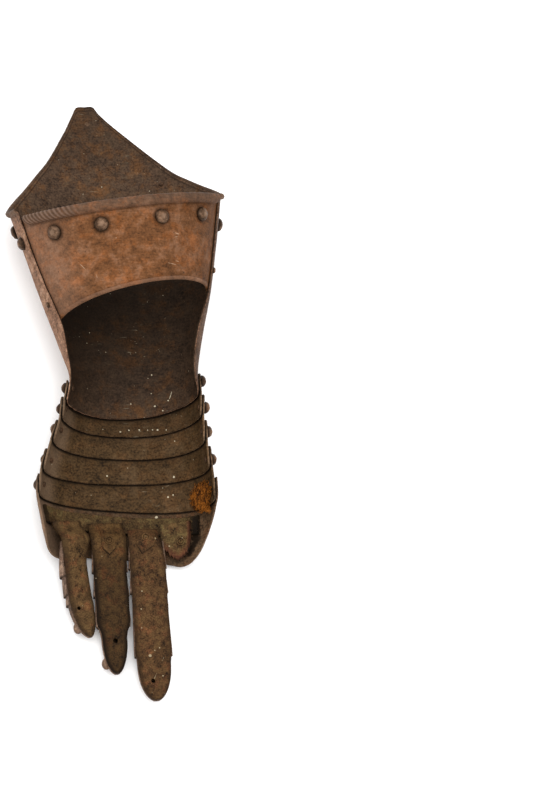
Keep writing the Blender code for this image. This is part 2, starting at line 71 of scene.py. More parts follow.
class Paint:
    def __init__(self, name):
        self.material = bpy.data.materials.new(name)
        self.material.use_nodes = True
        self.tree = self.material.node_tree
        self.shader = self.tree.nodes["Principled BSDF"]
        self.place = self.node("ShaderNodeTexCoord", {}, {}, "Object")
        self.ragged = self.noise(0.0012, 3, 0.6, seed=4.4)

    def node(self, kind, settings, inputs, output=0):
        made = self.tree.nodes.new(kind)
        for key, value in settings.items():
            setattr(made, key, value)
        for key, value in inputs.items():
            if isinstance(value, Value):
                self.tree.links.new(value.socket, made.inputs[key])
            else:
                made.inputs[key].default_value = value
        return Value(self, made.outputs[output])

    def noise(self, size, detail=3, rough=0.55, seed=0.0, stretch=(1, 1, 1), turn=(0, 0, 0)):
        # size is a feature's size in metres
        spot = self.node("ShaderNodeMapping", {}, {
            "Vector": self.place, "Location": (seed, seed * 0.7, seed * 1.3), "Scale": stretch,
            "Rotation": turn})
        return self.node("ShaderNodeTexNoise", {}, {
            "Vector": spot, "Scale": 1 / size, "Detail": detail, "Roughness": rough})

    def span(self, value, low, high):
        return self.node("ShaderNodeMapRange", {"interpolation_type": "SMOOTHSTEP"}, {
            "Value": value, "From Min": low, "From Max": high})

    def mix(self, factor, first, second, blend="MIX"):
        return self.node("ShaderNodeMix", {"data_type": "RGBA", "blend_type": blend}, {
            0: factor, 6: first, 7: second}, 2)

    def attribute(self, name):
        return self.node("ShaderNodeAttribute", {"attribute_name": name}, {}, "Fac")

    def vector(self, operation, first, second, output="Vector"):
        return self.node("ShaderNodeVectorMath", {"operation": operation}, {0: first, 1: second}, output)

    def tone(self, *parts):
        # brightness about 1 from noises, each with how far it swings it
        total = 1.0
        for value, swing in parts:
            total = total + (self.span(value, 0.28, 0.72) - 0.5) * (2 * swing)
        return total

    def flecks(self, size, spread, share, seed=0.0):
        # small round spots, in a share of cells that are so far apart
        spot = self.node("ShaderNodeMapping", {}, {"Vector": self.place, "Location": (seed, seed, seed)})
        settings = {"Vector": spot, "Scale": 1 / spread, "Randomness": 1.0}
        near = self.node("ShaderNodeTexVoronoi", {}, settings)
        colour = self.node("ShaderNodeTexVoronoi", {}, settings, "Color")
        chance = self.node("ShaderNodeSeparateColor", {}, {0: colour}, 0)
        bulk = self.node("ShaderNodeSeparateColor", {}, {0: colour}, 1)
        radius = (bulk * 0.7 + 0.3) * (size / spread)
        inside = self.node("ShaderNodeMath", {"operation": "DIVIDE"}, {0: near, 1: radius})
        return (1 - self.span(inside, 0.75, 1.05)) * (chance > 1 - share)

    def within(self, away, size, edge):
        away = away + (self.ragged - 0.5) * (size * edge["ragged"])
        return 1 - self.span(away, size * edge["solid"], size * edge["gone"])

    def marks(self, spots, lines, found=None):
        # spots are x, y, z and radius in mm; lines are two ends and half a width in mm
        shapes = []
        for x, y, z, radius in spots:
            away = self.vector("DISTANCE", self.place, (x / 1000, y / 1000, z / 1000), "Value")
            shapes.append(self.within(away, radius, spotEdge))
        for first, last, half in lines:
            first, run = Vector(first) / 1000, (Vector(last) - Vector(first)) / 1000
            offset = self.vector("SUBTRACT", self.place, tuple(first))
            share = self.vector("DOT_PRODUCT", offset, tuple(run / run.length_squared), "Value")
            share = self.node("ShaderNodeClamp", {}, {"Value": share})
            foot = self.node("ShaderNodeVectorMath", {"operation": "SCALE"}, {0: tuple(run), "Scale": share})
            shapes.append(self.within(self.vector("DISTANCE", offset, foot, "Value"), half, lineEdge))
        for shape in shapes:
            found = shape if found is None else found.highest(shape)
        return found

    def finish(self, colour, rough, metal, height, depth):
        self.put("Base Color", colour)
        self.put("Roughness", rough)
        self.put("Metallic", metal)
        self.put("Specular IOR Level", paintPlan["specular"])
        self.put("Normal", self.node("ShaderNodeBump", {}, {
            "Strength": paintPlan["bump"], "Distance": depth, "Height": height}))
        return self.material

    def put(self, key, value):
        if isinstance(value, Value):
            self.tree.links.new(value.socket, self.shader.inputs[key])
        else:
            self.shader.inputs[key].default_value = value


def linear(red, green, blue):
    def one(level):
        level /= 255
        return level / 12.92 if level <= 0.04045 else ((level + 0.055) / 1.055) ** 2.4
    return (one(red), one(green), one(blue), 1)


steelLook = dict(
    inner=(66, 48, 29), outer=(118, 90, 71), deep=(20, 12, 5), cool=(62, 49, 35), coolShare=0.4,
    rust=(88, 54, 28), rustShare=0.4, rustFrom=0.47, worn=(150, 124, 104), pale=(200, 188, 160),
    fleckShare=0.05, pitShare=0.35, grain=0.475, rough=0.58, metal=0.1, bump=0.00020,
    specks=(), scratches=(), stains=())


def steelPaint(name, **changes):
    look = dict(steelLook, **changes)
    colour = {key: linear(*look[key]) for key in ("inner", "outer", "deep", "cool", "rust", "worn", "pale")}
    paint = Paint(name)
    # the piece's own map runs round its section, the inside first
    side = paint.node("ShaderNodeSeparateXYZ", {}, {0: paint.node("ShaderNodeUVMap", {}, {})}, 1)
    outside = paint.span(side, 0.40, 0.60)
    base = paint.mix(outside, colour["inner"], colour["outer"])
    broad = paint.noise(0.028, 4, 0.6)
    middle = paint.noise(0.0065, 6, 0.68, seed=0.3)
    fine = paint.noise(0.0013, 4, 0.7, seed=0.7)
    brushed = paint.noise(0.004, 3, 0.7, seed=2.6, stretch=(0.5, 4, 1.5), turn=(0, 0, 0.5))
    clouds = paint.span(middle * 0.6 + broad * 0.4, 0.47, 0.60)
    base = paint.mix(clouds * look["coolShare"], base, paint.mix(outside, colour["cool"], colour["worn"]))
    rusting = paint.noise(0.008, 8, 0.74, seed=1.9) * 0.7 + broad * 0.3
    rustPatch = paint.span(rusting, look["rustFrom"], look["rustFrom"] + 0.15)
    base = paint.mix(rustPatch * look["rustShare"], base, colour["rust"])
    tone = paint.tone((broad, 0.18), (middle, 0.34), (fine, look["grain"]), (brushed, 0.18))
    base = paint.mix(1.0, base, tone, "MULTIPLY")
    pits = paint.flecks(0.0006, 0.0024, look["pitShare"], 5.0)
    base = paint.mix(pits * 0.5, base, colour["deep"])
    # worn colour, and painted light: lighter lame ends, painted highlights on rims, rope strands, rivet and
    # dome tops
    base = paint.mix(paint.attribute("rub") * (fine * 0.8 + 0.4), base, colour["worn"])
    base = paint.mix(paint.attribute("shade") * (1 - outside), base, colour["deep"])
    # dirt, and painted shade under edges, in grooves and seams, and along sides
    base = paint.mix(paint.attribute("grime") * (middle * 0.5 + 0.75), base, colour["deep"])
    scratch = paint.noise(0.0022, 2, 0.5, seed=3.3, stretch=(0.12, 3, 3), turn=(0.2, 0.1, 0.6))
    scratch = paint.span(scratch, 0.70, 0.74) * paint.span(broad, 0.50, 0.60) * 0.35
    flecks = paint.flecks(0.0005, 0.0050, look["fleckShare"], 0.4).highest(
        paint.flecks(0.0003, 0.0024, look["fleckShare"], 1.1))
    pale = paint.marks(look["specks"], look["scratches"], flecks.highest(scratch))
    base = paint.mix(pale * 0.7, base, colour["pale"])
    # dark stains, and painted shadows of dark slots
    if look["stains"]:
        base = paint.mix(paint.marks((), look["stains"]) * 0.95, base, colour["deep"])
    height = broad * 1.4 + middle * 0.9 + fine * 0.45 + rustPatch * 0.4 - pits * 0.6 + pale * 0.5
    rough = look["rough"] + middle * 0.16 + rustPatch * 0.15
    return paint.finish(base, rough, look["metal"] - rustPatch * (look["metal"] * 0.8), height, look["bump"])


leatherLook = dict(
    base=(74, 54, 32), dark=(26, 16, 8), green=(62, 50, 28), red=(90, 54, 32), pale=(160, 144, 114),
    torn=(86, 48, 35), greenShare=0.35, redShare=0.55, fleckShare=0.05, rough=0.62, bump=0.00026,
    specks=(), scratches=(), creases=())


def leatherPaint(name, **changes):
    look = dict(leatherLook, **changes)
    colour = {key: linear(*look[key]) for key in ("base", "dark", "green", "red", "pale", "torn")}
    paint = Paint(name)
    broad = paint.noise(0.014, 4, 0.6)
    middle = paint.noise(0.0042, 5, 0.68, seed=0.5)
    grain = paint.noise(0.0008, 3, 0.65, seed=0.9)
    base = paint.mix(paint.span(middle, 0.48, 0.64) * look["greenShare"], colour["base"], colour["green"])
    reddish = paint.span(paint.noise(0.008, 6, 0.7, seed=6.1), 0.52, 0.64)
    base = paint.mix(reddish * look["redShare"], base, colour["red"])
    base = paint.mix(1.0, base, paint.tone((broad, 0.30), (middle, 0.55), (grain, 0.50)), "MULTIPLY")
    base = paint.mix(paint.attribute("torn") * (middle * 0.8 + 0.3), base, colour["torn"])
    # dirt, and painted shade along strap and flap edges and under the ring rivets
    base = paint.mix(paint.attribute("grime") * (middle * 0.6 + 0.7), base, colour["dark"])
    cells = paint.node("ShaderNodeTexVoronoi", {"feature": "DISTANCE_TO_EDGE"}, {
        "Vector": paint.place, "Scale": 1 / 0.0034})
    cracks = (1 - paint.span(cells, 0.0, 0.08)) * paint.span(broad, 0.42, 0.60)
    # painted shade in creases and cracks, and the painted shadow of the slot on the stub
    crease = paint.marks((), look["creases"], cracks * 0.4)
    base = paint.mix(crease * 0.95, base, colour["dark"])
    flecks = paint.flecks(0.0005, 0.0046, look["fleckShare"], 2.4).highest(
        paint.flecks(0.0003, 0.0023, look["fleckShare"], 3.9))
    pale = paint.marks(look["specks"], look["scratches"], flecks)
    base = paint.mix(pale * 0.7, base, colour["pale"])
    height = broad * 1.1 + middle * 1.0 + grain * 0.5 - crease * 1.2 + pale * 0.4
    return paint.finish(base, look["rough"] + middle * 0.2, 0.0, height, look["bump"])


def fibrePaint(name):
    paint = Paint(name)
    strand = paint.noise(0.0016, 3, 0.6)
    broad = paint.noise(0.006, 3, 0.6, seed=1.7)
    share = paint.span(broad * 0.5 + strand * 0.5, 0.40, 0.60)
    base = paint.mix(share, linear(140, 82, 26), linear(48, 24, 6))
    base = paint.mix(paint.attribute("grime"), base, linear(34, 20, 10))
    return paint.finish(base, 0.85, 0.0, strand, 0.0001)


# painted shadow of the dark slot beside the index finger's stub, on the plate and on the leather over it
slotShadow = (((41.6, -92, 13.2), (41.6, -98, 11.8), 3.6), ((41.6, -98, 11.8), (37, -106.5, 9.0), 2.4))
leatherSlotShadow = (((41.3, -86.5, 14.8), (41.3, -93.5, 14.2), 3.4),
                ((41.3, -93.5, 14.2), (38.5, -103, 12.2), 1.7))
paints = {
    "cuff": steelPaint(
        "cuffSteel", inner=(66, 50, 38), outer=(122, 90, 70), rust=(90, 58, 31), rustShare=0.6,
        fleckShare=0.09,
        specks=((22, 9, 10.7, 0.5), (22.5, -11.5, 10.5, 0.6), (8, -9, 8, 0.4), (30.5, -9, 14.2, 0.5),
                (27, -15, 12.3, 0.5), (21, -3, 10.3, 0.4), (10, 24, 8.5, 0.5), (24, 39, 11, 0.5)),
        scratches=(((31.4, -8, 14.8), (32.8, -4, 15.8), 0.25),),
        stains=(((-3.2, 161, 5.5), (5, 150.5, 5.8), 0.10), ((5, 150.5, 5.8), (16.4, 136, 7.3), 0.14))),
    "band": steelPaint(
        "bandSteel", inner=(66, 50, 38), outer=(98, 63, 37), worn=(114, 93, 80), rust=(120, 69, 32),
        rustShare=0.6, coolShare=0.22, fleckShare=0.01, pitShare=0.2, grain=0.275, pale=(164, 134, 108),
        specks=((-30, 57, 76.5, 0.5), (-28, 55.5, 77, 0.4)),
        scratches=(((-32, 59, 76.3), (-25, 50, 77.8), 0.25), ((-23, 55, 79), (-21, 48, 78), 0.22),
                   ((26, 74, 86.6), (31, 73, 85.3), 0.35), ((27, 71.5, 85.8), (30, 72, 85.3), 0.25),
                   ((22, 59, 83), (29, 57.5, 80.6), 0.24), ((22, 56, 82.4), (28, 55.4, 80.5), 0.22)),
        stains=(((3, 71.6, 90.3), (27, 74, 86.8), 0.16),)),
    "lame": steelPaint(
        "lameSteel", inner=(63, 46, 27), outer=(84, 65, 47), worn=(110, 90, 72), rust=(82, 53, 28),
        rustShare=0.3, fleckShare=0.08, grain=0.525,
        specks=((0.5, -26.5, 6.2, 0.6), (6, -25.5, 6, 0.6), (12.5, -25.6, 6.5, 0.55), (17.5, -26, 7.4, 0.4),
                (20.5, -26.2, 8.1, 0.45), (23.5, -26.6, 9.2, 0.6), (28.5, -27.4, 11.5, 0.45),
                (31.3, -57.5, 10.3, 0.8), (30.4, -68.3, 7.8, 0.5), (27.4, -69.3, 6.7, 0.6),
                (-9.4, -54.3, 4.3, 0.6), (14, -33, 6.2, 0.5), (24, -40, 7.5, 0.5),
                (33, -35, 12.5, 0.5), (16, -62, 5, 0.4)),
        scratches=(((18, -68.5, 5), (23, -65, 5.8), 0.2), ((25, -48, 7.5), (27, -45, 8.2), 0.2)),
        # painted shadow of the dark slot in the last lame's wall by the thumb
        stains=(((48.6, -71.5, 34), (48.6, -75, 37), 2.6), ((48.6, -75, 37), (48.6, -78.5, 38.5), 1.6))),
    "knuckle": steelPaint(
        "knuckleSteel", inner=(78, 60, 43), outer=(90, 70, 53), worn=(118, 96, 78), rust=(104, 62, 36),
        fleckShare=0.03, specks=((20, -81, 2.8, 0.9),), stains=slotShadow),
    "scale": steelPaint("scaleSteel", inner=(70, 54, 42), outer=(98, 78, 65), fleckShare=0.02),
    "rivet": steelPaint(
        "rivetIron", inner=(76, 56, 41), outer=(76, 56, 41), worn=(132, 106, 86), rough=0.4, metal=0.3,
        rustShare=0.35, fleckShare=0.0),
    "strapLittle": leatherPaint(
        "littleLeather", creases=(
            ((-45, -93, 20), (-34, -93.4, 17), 0.25), ((-44, -96, 20), (-38, -96.2, 18), 0.2),
            ((-29, -92, 14), (-31, -104, 14), 0.3))),
    "strapRing": leatherPaint(
        "ringLeather", base=(68, 48, 26), dark=(20, 11, 4), green=(58, 45, 24), red=(78, 44, 23),
        fleckShare=0.04, creases=(((-22, -92, 14), (-15, -92.4, 14.4), 0.2),)),
    "strapMiddle": leatherPaint(
        "middleLeather", base=(68, 47, 27), greenShare=0.3, fleckShare=0.07,
        specks=((5.6, -129.5, 12.8, 0.5), (4.5, -140.5, 12.4, 0.5), (8, -169, 11.9, 1.0),
                (14, -164.5, 12, 0.5), (15, -181.5, 11.5, 0.5), (11, -166, 12, 0.4),
                (4, -152, 12.3, 0.5), (16, -97, 13.5, 0.7)),
        scratches=(((16.2, -170.5, 11.6), (9.5, -183, 11.7), 0.16),)),
    "stub": leatherPaint(
        "stubLeather", base=(74, 56, 33), green=(77, 66, 39), torn=(84, 44, 30), dark=(14, 9, 5),
        greenShare=0.6, redShare=0.25, fleckShare=0.08, creases=leatherSlotShadow,
        specks=((27, -94, 10.5, 0.7), (25.5, -101, 8.6, 0.6), (33, -97, 12.5, 0.5))),
    "fibre": fibrePaint("thumbFibre"),
}
print("materials made")

# the form is the inside of the gauntlet, laid out as in the solid model

bed = Vector((0.00565, -0.0051, 0.0001))
plateThick, scaleThick, leatherThick = 0.0012, 0.0008, 0.0018
fitGap, gapWrist, gapBack, gapSide = 0.0004, 0.0020, 0.0009, 0.0005
rimRoll, ropeRoll, borderRoll = 0.0017, 0.0029, 0.0011

# y, left and right sides, back, widest level, palm, roundness
formRows = (
    (-0.112, -0.050, 0.037, 0.0022, 0.026, 0.040, 2.9),
    (-0.104, -0.0555, 0.0405, 0.0021, 0.029, 0.044, 2.9),
    (-0.094, -0.0577, 0.0420, 0.0024, 0.032, 0.050, 2.8),
    (-0.080, -0.0597, 0.0428, 0.0030, 0.035, 0.058, 2.7),
    (-0.066, -0.0607, 0.0420, 0.0040, 0.036, 0.062, 2.6),
    (-0.050, -0.0572, 0.0400, 0.0050, 0.036, 0.063, 2.5),
    (-0.034, -0.0508, 0.0386, 0.0060, 0.036, 0.064, 2.4),
    (-0.017, -0.0438, 0.0382, 0.0071, 0.036, 0.064, 2.2),
    (0.005, -0.0385, 0.0383, 0.0080, 0.036, 0.065, 2.1),
    (0.020, -0.0426, 0.0407, 0.0080, 0.0375, 0.070, 2.1),
    (0.060, -0.0557, 0.0499, 0.0074, 0.042, 0.085, 2.1),
    (0.114, -0.0730, 0.0583, 0.0063, 0.049, 0.102, 2.1),
    (0.205, -0.1015, 0.0740, 0.0046, 0.060, 0.130, 2.1),
)
# far edge of the cuff and the lames: y, slant, dip at the back
edgeRows = (
    (-0.0085, 0.0, 0.0050),
    (-0.0206, -0.042, 0.0045),
    (-0.0364, -0.060, 0.0030),
    (-0.0536, -0.045, 0.0016),
    (-0.0715, -0.090, 0.0010),
)
pivotRows = (      # left and right pivots of the next plate: degrees and y, the right one's head
    (-72, 0.0008, 94, 0.0004, "pivot"),
    (-68, -0.0114, 94, -0.0168, "pivot"),
    (-68, -0.0242, 94, -0.0325, "pivot"),
    (-65, -0.0425, 92, -0.0498, "pivot"),
    (-66, -0.0580, 88, -0.0640, "flush"),
)
lapBack, lapSide = 0.008, 0.0145
lameReach, lobeReach = (86, 102), 14
knuckleEdge = (
    (-86, -0.0930), (-80, -0.0958), (-70, -0.0985), (-58, -0.1012), (-44, -0.1020), (-30, -0.1015),
    (-18, -0.1005), (-6, -0.1015), (14, -0.1045), (26, -0.1065), (38, -0.1086), (46, -0.1080),
    (54, -0.1055), (62, -0.1005), (70, -0.0935), (78, -0.0865), (86, -0.0798), (94, -0.0735), (102, -0.070),
)
knuckleDrop, knuckleShy = 0.030, 0.25
rimEdge = (
    (-105, 0.1045), (-90, 0.1075), (-80, 0.1108), (-70, 0.1152), (-60, 0.1213), (-50, 0.1286),
    (-40, 0.1374), (-30, 0.1487), (-20, 0.1621), (-10, 0.1821), (-5, 0.1952), (-3.2, 0.2003), (0, 0.2010),
    (3.2, 0.2010), (5, 0.1962), (10, 0.1875), (20, 0.1732), (30, 0.1606), (40, 0.1500), (50, 0.1427),
    (60, 0.1364), (70, 0.1309), (80, 0.1258), (90, 0.1209), (100, 0.1162), (115, 0.1120),
)
cuffReachLeft = ((-0.014, 84), (0.004, 86), (0.013, 97), (0.026, 106.5), (0.036, 108.5), (0.058, 103.5),
                 (0.080, 101.5), (0.130, 102))
cuffReachRight = ((-0.014, 104), (0.002, 115), (0.016, 120), (0.034, 118), (0.052, 109.5), (0.130, 108.5))
wristCorner = dict(angle=92, run=26, rise=0.010)
band = dict(left=86, right=-80, ropeLeft=72, borderLeft=65, ropeRight=-64, spread=77,
            rim=0.098, rimSlant=0.12, rimRise=0.0095, arch=0.0485, archSlant=0.19, archDip=0.0025)
# root, tip, bow, upper edges' levels, half widths, cant, sink, extra width of the strap's root,
# start, how dark the strap is, far ends of the short scales
fingerColumns = ("finger", "rootX", "rootY", "tipX", "tipY", "bow", "rootLevel", "tipLevel",
                 "half", "tipHalf", "cant", "sink", "rootLeft", "rootRight", "start", "dark", "ends")
fingerRows = (
    ("little", -0.0412, -0.093, -0.0325, -0.1510, -0.0020, 0.0175, 0.0082, 0.0062, 0.0064, 32, 0.0046,
     0.0012, 0.0038, -0.0130, 0.0, (0.0205, 0.0320, 0.0378)),
    ("ring", -0.0184, -0.093, -0.0180, -0.1740, 0.0, 0.0109, 0.0082, 0.0092, 0.0070, 3, 0.0052,
     0.0008, 0.0008, -0.0125, 0.42, (0.0185, 0.0335, 0.0520)),
    ("middle", 0.0051, -0.093, 0.0050, -0.1910, 0.0, 0.0105, 0.0082, 0.0099, 0.0094, 0, 0.0050,
     0.0002, -0.0030, -0.0080, 0.0, (0.0170, 0.0320, 0.0710)),
)
rootDepth, fullDepth, depthRun = 0.0045, 0.0063, 0.020
scaleGap, scaleLap, nailLength = 0.00035, 0.006, 0.020


def tableAt(rows, place):
    place = min(max(place, rows[0][0]), rows[-1][0])
    upper = next(i for i in range(1, len(rows)) if place <= rows[i][0])
    low, high = rows[upper - 1], rows[upper]
    before, after = rows[max(upper - 2, 0)], rows[min(upper + 1, len(rows) - 1)]
    span = high[0] - low[0]
    t = (place - low[0]) / span
    values = []
    for k in range(1, len(low)):
        leave = (high[k] - before[k]) / (high[0] - before[0]) * span
        arrive = (after[k] - low[k]) / (after[0] - low[0]) * span
        values.append((2 * t**3 - 3 * t**2 + 1) * low[k] + (t**3 - 2 * t**2 + t) * leave
                      + (3 * t**2 - 2 * t**3) * high[k] + (t**3 - t**2) * arrive)
    return values


def rounded(value, roundness):
    return math.copysign(abs(value) ** (2 / roundness), value)


def onForm(angle, y, offset=0.0):
    # a point at so many degrees round from the back's middle, moved outwards
    left, right, back, middle, palm, roundness = tableAt(formRows, y)
    left, right = left - offset, right + offset
    turn = math.radians(angle)
    rise = offset + (middle - back if math.cos(turn) > 0 else palm - middle)
    x = (left + right) / 2 + (right - left) / 2 * rounded(math.sin(turn), roundness)
    return Vector((x, y, middle - rise * rounded(math.cos(turn), roundness))) + bed


dentPlan = dict(broad=38, broadDeep=0.00030, small=105, smallDeep=0.00012, apart=Vector((3, 1, 7)))


def hammered(angle, y):
    # the plates' slow unevenness, the same for all so that they still nest
    at = onForm(angle, y)
    return (noise.noise(at * dentPlan["broad"]) * dentPlan["broadDeep"]
            + noise.noise(at * dentPlan["small"] + dentPlan["apart"]) * dentPlan["smallDeep"])


def backShare(angle):
    return max(math.cos(math.radians(angle)), 0) ** 2


def edgeOf(plate, angle):
    if plate == len(edgeRows):
        return tableAt(knuckleEdge, angle)[0]
    y, slant, dip = edgeRows[plate]
    return y + slant * (onForm(angle, y).x - bed.x) - dip * backShare(angle)


def stepOf(plate, angle):
    gap = gapWrist if plate == 1 else gapBack
    return plateThick + gapSide + (gap - gapSide) * math.sqrt(backShare(angle))


def lift(plate, angle, y):
    if plate == 0:
        return 0.0
    before = edgeOf(plate - 1, angle)
    if y > before:
        return stepOf(plate, angle) + lift(plate - 1, angle, y)
    run = before - edgeOf(plate, angle) if plate < len(edgeRows) else knuckleDrop
    return stepOf(plate, angle) * max(1 + (y - before) / run, 0)


def nearEdge(plate, angle):
    return edgeOf(plate - 1, angle) + lapSide + (lapBack - lapSide) * backShare(angle)


def outwards(angle, y, plate=0):
    here = onForm(angle, y, lift(plate, angle, y))
    along = onForm(angle, y + 0.001, lift(plate, angle, y + 0.001)) - here
    around = onForm(angle + 1, y, lift(plate, angle + 1, y)) - here
    return along.cross(around).normalized()


def rimOf(angle):
    return tableAt(rimEdge, angle)[0]


def bandEdges(turn):
    spread = (turn / band["spread"]) ** 2
    high = band["rim"] + band["rimSlant"] * (onForm(180 + turn, band["rim"]).x - bed.x) \
        + band["rimRise"] * spread
    low = band["arch"] + band["archSlant"] * (onForm(180 + turn, band["arch"]).x - bed.x) \
        - band["archDip"] * spread
    return high, low


def fingerFrame(row):
    root = Vector((row["rootX"], row["rootY"], 0))
    along = Vector((row["tipX"], row["tipY"], 0)) - root
    length = along.length
    along.normalize()
    return root, along, Vector((-along.y, along.x, 0)) * (1 if along.y < 0 else -1), length


def eased(share):
    share = min(max(share, 0), 1)
    return 3 * share**2 - 2 * share**3


def growing(value, amount, start, run):
    return amount * eased((value - start) / run)


def fading(value, amount, start, run):
    return amount * (1 - eased((value - start) / run))


def fingerPoint(row, place, side, height):
    root, along, across, length = fingerFrame(row)
    share = min(max(place / length, 0), 1)
    level = row["rootLevel"] + (row["tipLevel"] - row["rootLevel"]) * (1.5 * share - 0.5 * share**2)
    tilt = math.tan(math.radians(row["cant"])) * (1 - share**2)
    swing = row["bow"] * 4 * share * (1 - share)
    return root + along * place + across * (side + swing + height * tilt) + Vector(
        (0, 0, level + height - side * tilt)) + bed


def nailShare(row, place, grow=0.0):
    length = fingerFrame(row)[3] - scaleThick + grow
    past = max(place - (length - nailLength), 0) / nailLength
    return math.sqrt(max(1 - past**1.8, 0.0004))


def nailPlaces(start, stop, count, turn, tipCount):
    # stations along a finger, closer together round its end
    bend = stop - nailLength
    return between(start, bend, count)[:-1] + [
        bend + nailLength * math.sin(math.radians(t)) for t in between(0, turn, tipCount)]


def fingerHalf(row, place):
    return row["half"] + growing(place, row["tipHalf"] - row["half"], row["ends"][2] - 0.0056, 0.014)


def scaleRise(row, index, place):
    ends = row["ends"]
    step = scaleThick + scaleGap
    before = ends[index - 1] if index else 0.0
    if place < before:
        return scaleRise(row, index - 1, place) - step
    if index == len(ends):
        return 0.0
    return step * (place - before) / (ends[index] - before)


def deselect():
    if bpy.context.object and bpy.context.object.mode != "OBJECT":
        bpy.ops.object.mode_set(mode="OBJECT")
    bpy.ops.object.select_all(action="DESELECT")


@contextmanager
def editing():
    # the new object in edit mode, with everything on it selected
    bpy.ops.object.mode_set(mode="EDIT")
    bpy.ops.mesh.select_all(action="SELECT")
    yield
    bpy.ops.object.mode_set(mode="OBJECT")


def addShare(piece, key, amount):
    # one of the paint's attributes, from each point's place
    layer = piece.data.attributes.new(key, "FLOAT", "POINT")
    for vertex in piece.data.vertices:
        layer.data[vertex.index].value = amount(vertex.co)


def seatedOn(place, direction):
    return Matrix.Translation(place) @ direction.to_track_quat("Z", "Y").to_matrix().to_4x4()


def joined(piece, others):
    deselect()
    for other in others:
        other.select_set(True)
    piece.select_set(True)
    bpy.context.view_layer.objects.active = piece
    bpy.ops.object.join()
    return piece


def capped(rings, rollFrom=0, rollTo=0):
    # close both ends: each point of a ring meets the one across the wall, a roll meets its middle
    def shut(ring):
        count = len(ring)
        closed = [(ring[i] + ring[count - 1 - i]) / 2 for i in range(count)]
        if rollTo > rollFrom:
            centre = sum(ring[rollFrom:rollTo], Vector()) / (rollTo - rollFrom)
            closed[rollFrom:rollTo] = [centre] * (rollTo - rollFrom)
        return closed
    return [shut(rings[0])] + rings + [shut(rings[-1])]


def nameOf(node):
    # a piece's name, from its solid's: band_rivet_1 gives bandRivet1
    first, *others = node.split("_")
    return first + "".join(word.title() for word in others)


def skin(node, rings, paint, shares=None, smoothAngle=40):
    # a grid wrapped round capped rings, then sewn along its seam and at its ends; shares are
    # the paint's attributes, a value for each point of the rings before they were capped
    deselect()
    columns, rows = len(rings) - 1, len(rings[0])
    bpy.ops.mesh.primitive_grid_add(x_subdivisions=columns, y_subdivisions=rows, size=1, calc_uvs=True)
    piece = bpy.context.object
    piece.name = piece.data.name = nameOf(node)
    layers = {key: piece.data.attributes.new(key, "FLOAT", "POINT") for key in shares or {}}
    for vertex in piece.data.vertices:
        column = round((vertex.co.x + 0.5) * columns)
        row = round((vertex.co.y + 0.5) * rows)
        vertex.co = rings[column][row % rows]
        for key, layer in layers.items():
            values = shares[key][min(max(column - 1, 0), len(rings) - 3)]
            layer.data[vertex.index].value = min(max(values[row % rows], 0), 1)
    with editing():
        bpy.ops.mesh.remove_doubles(threshold=2e-6)
        bpy.ops.mesh.normals_make_consistent(inside=False)
    bpy.ops.object.shade_smooth_by_angle(angle=math.radians(smoothAngle))
    piece.data.materials.append(paint)
    return piece


def settle(piece, body, node):
    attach(piece, body)
    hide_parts(node)


def between(first, last, count):
    return [first + (last - first) * i / (count - 1) for i in range(count)]


def plateSection(ys, base, ease=0.00028):
    # a plain plate as y and height: inside, softened far edge, outside, softened near edge
    low, high = ys[0], ys[-1]
    levels = [(low, ease), (low + ease, 0.0)] + [(y, 0.0) for y in ys[1:-1]]
    levels += [(high - ease, 0.0), (high, ease)]
    return [(y, base(y) + rise) for y, rise in levels] + [
        (y, base(y) + plateThick - rise) for y, rise in reversed(levels)]


def laid(angle, section, share=1.0):
    return [onForm(angle, y, offset + hammered(angle, y) * share) for y, offset in section]


# here and below, three numbers for wear, dirt, painted light and painted shade are how much, where it starts
# to change and over what run
lamePlan = dict(stations=170, rows=42, knuckleRows=74, nick=0.00025, nicks=160, rub=(0.6, 40, 18))
shadePlan = dict(line=(0.96, 0.0003, 0.0012), soft=0.17, back=0.10, first=0.25, run=0.0075, least=0.22)


def edgeShade(plate, past, angle):
    # painted shade inside a plate, from under the edge of the one before it onwards, most on the first lame
    first = plate == 1
    soft = shadePlan["soft"] + shadePlan["back"] * backShare(angle) + shadePlan["first"] * first
    return max(fading(past, *shadePlan["line"]), fading(past, soft, 0, shadePlan["run"]),
               shadePlan["least"] * first)


def endsOf(plate, angle):
    far, near = edgeOf(plate, angle), nearEdge(plate, angle)
    over = max(abs(angle) - lameReach[angle > 0] + lobeReach - 2, 0) / lobeReach
    if plate == len(edgeRows):
        return far, near - (near - far) * knuckleShy * over
    centre = (near + far) / 2
    return (centre + (far - centre) * math.sqrt(1 - over**4),
            centre + (near - centre) * math.sqrt(1 - over**2))


def handPlate(node, plate, body, paint):
    rings, shade, rub = [], [], []
    rows = lamePlan["knuckleRows" if plate == len(edgeRows) else "rows"]
    for i in range(lamePlan["stations"] + 1):
        # closer stations towards the rounded ends
        share = math.sin(math.radians(90 * (2 * i / lamePlan["stations"] - 1)))
        angle = lameReach[share > 0] * share
        far, near = endsOf(plate, angle)
        at = onForm(angle, far)
        wave = noise.noise(at * lamePlan["nicks"] + Vector((plate * 5.1, 0, 0))) * lamePlan["nick"]
        section = plateSection(between(far + wave, near, rows), lambda y: lift(plate, angle, y))
        rings.append(laid(angle, section))
        before = edgeOf(plate - 1, angle)
        shade.append([edgeShade(plate, before - y, angle) for y, offset in section])
        # painted light: the lames' left ends are made lighter
        rub.append([growing(-angle, *lamePlan["rub"])] * len(section))
    settle(skin(node, capped(rings), paint, {"shade": shade, "rub": rub}), body, node)


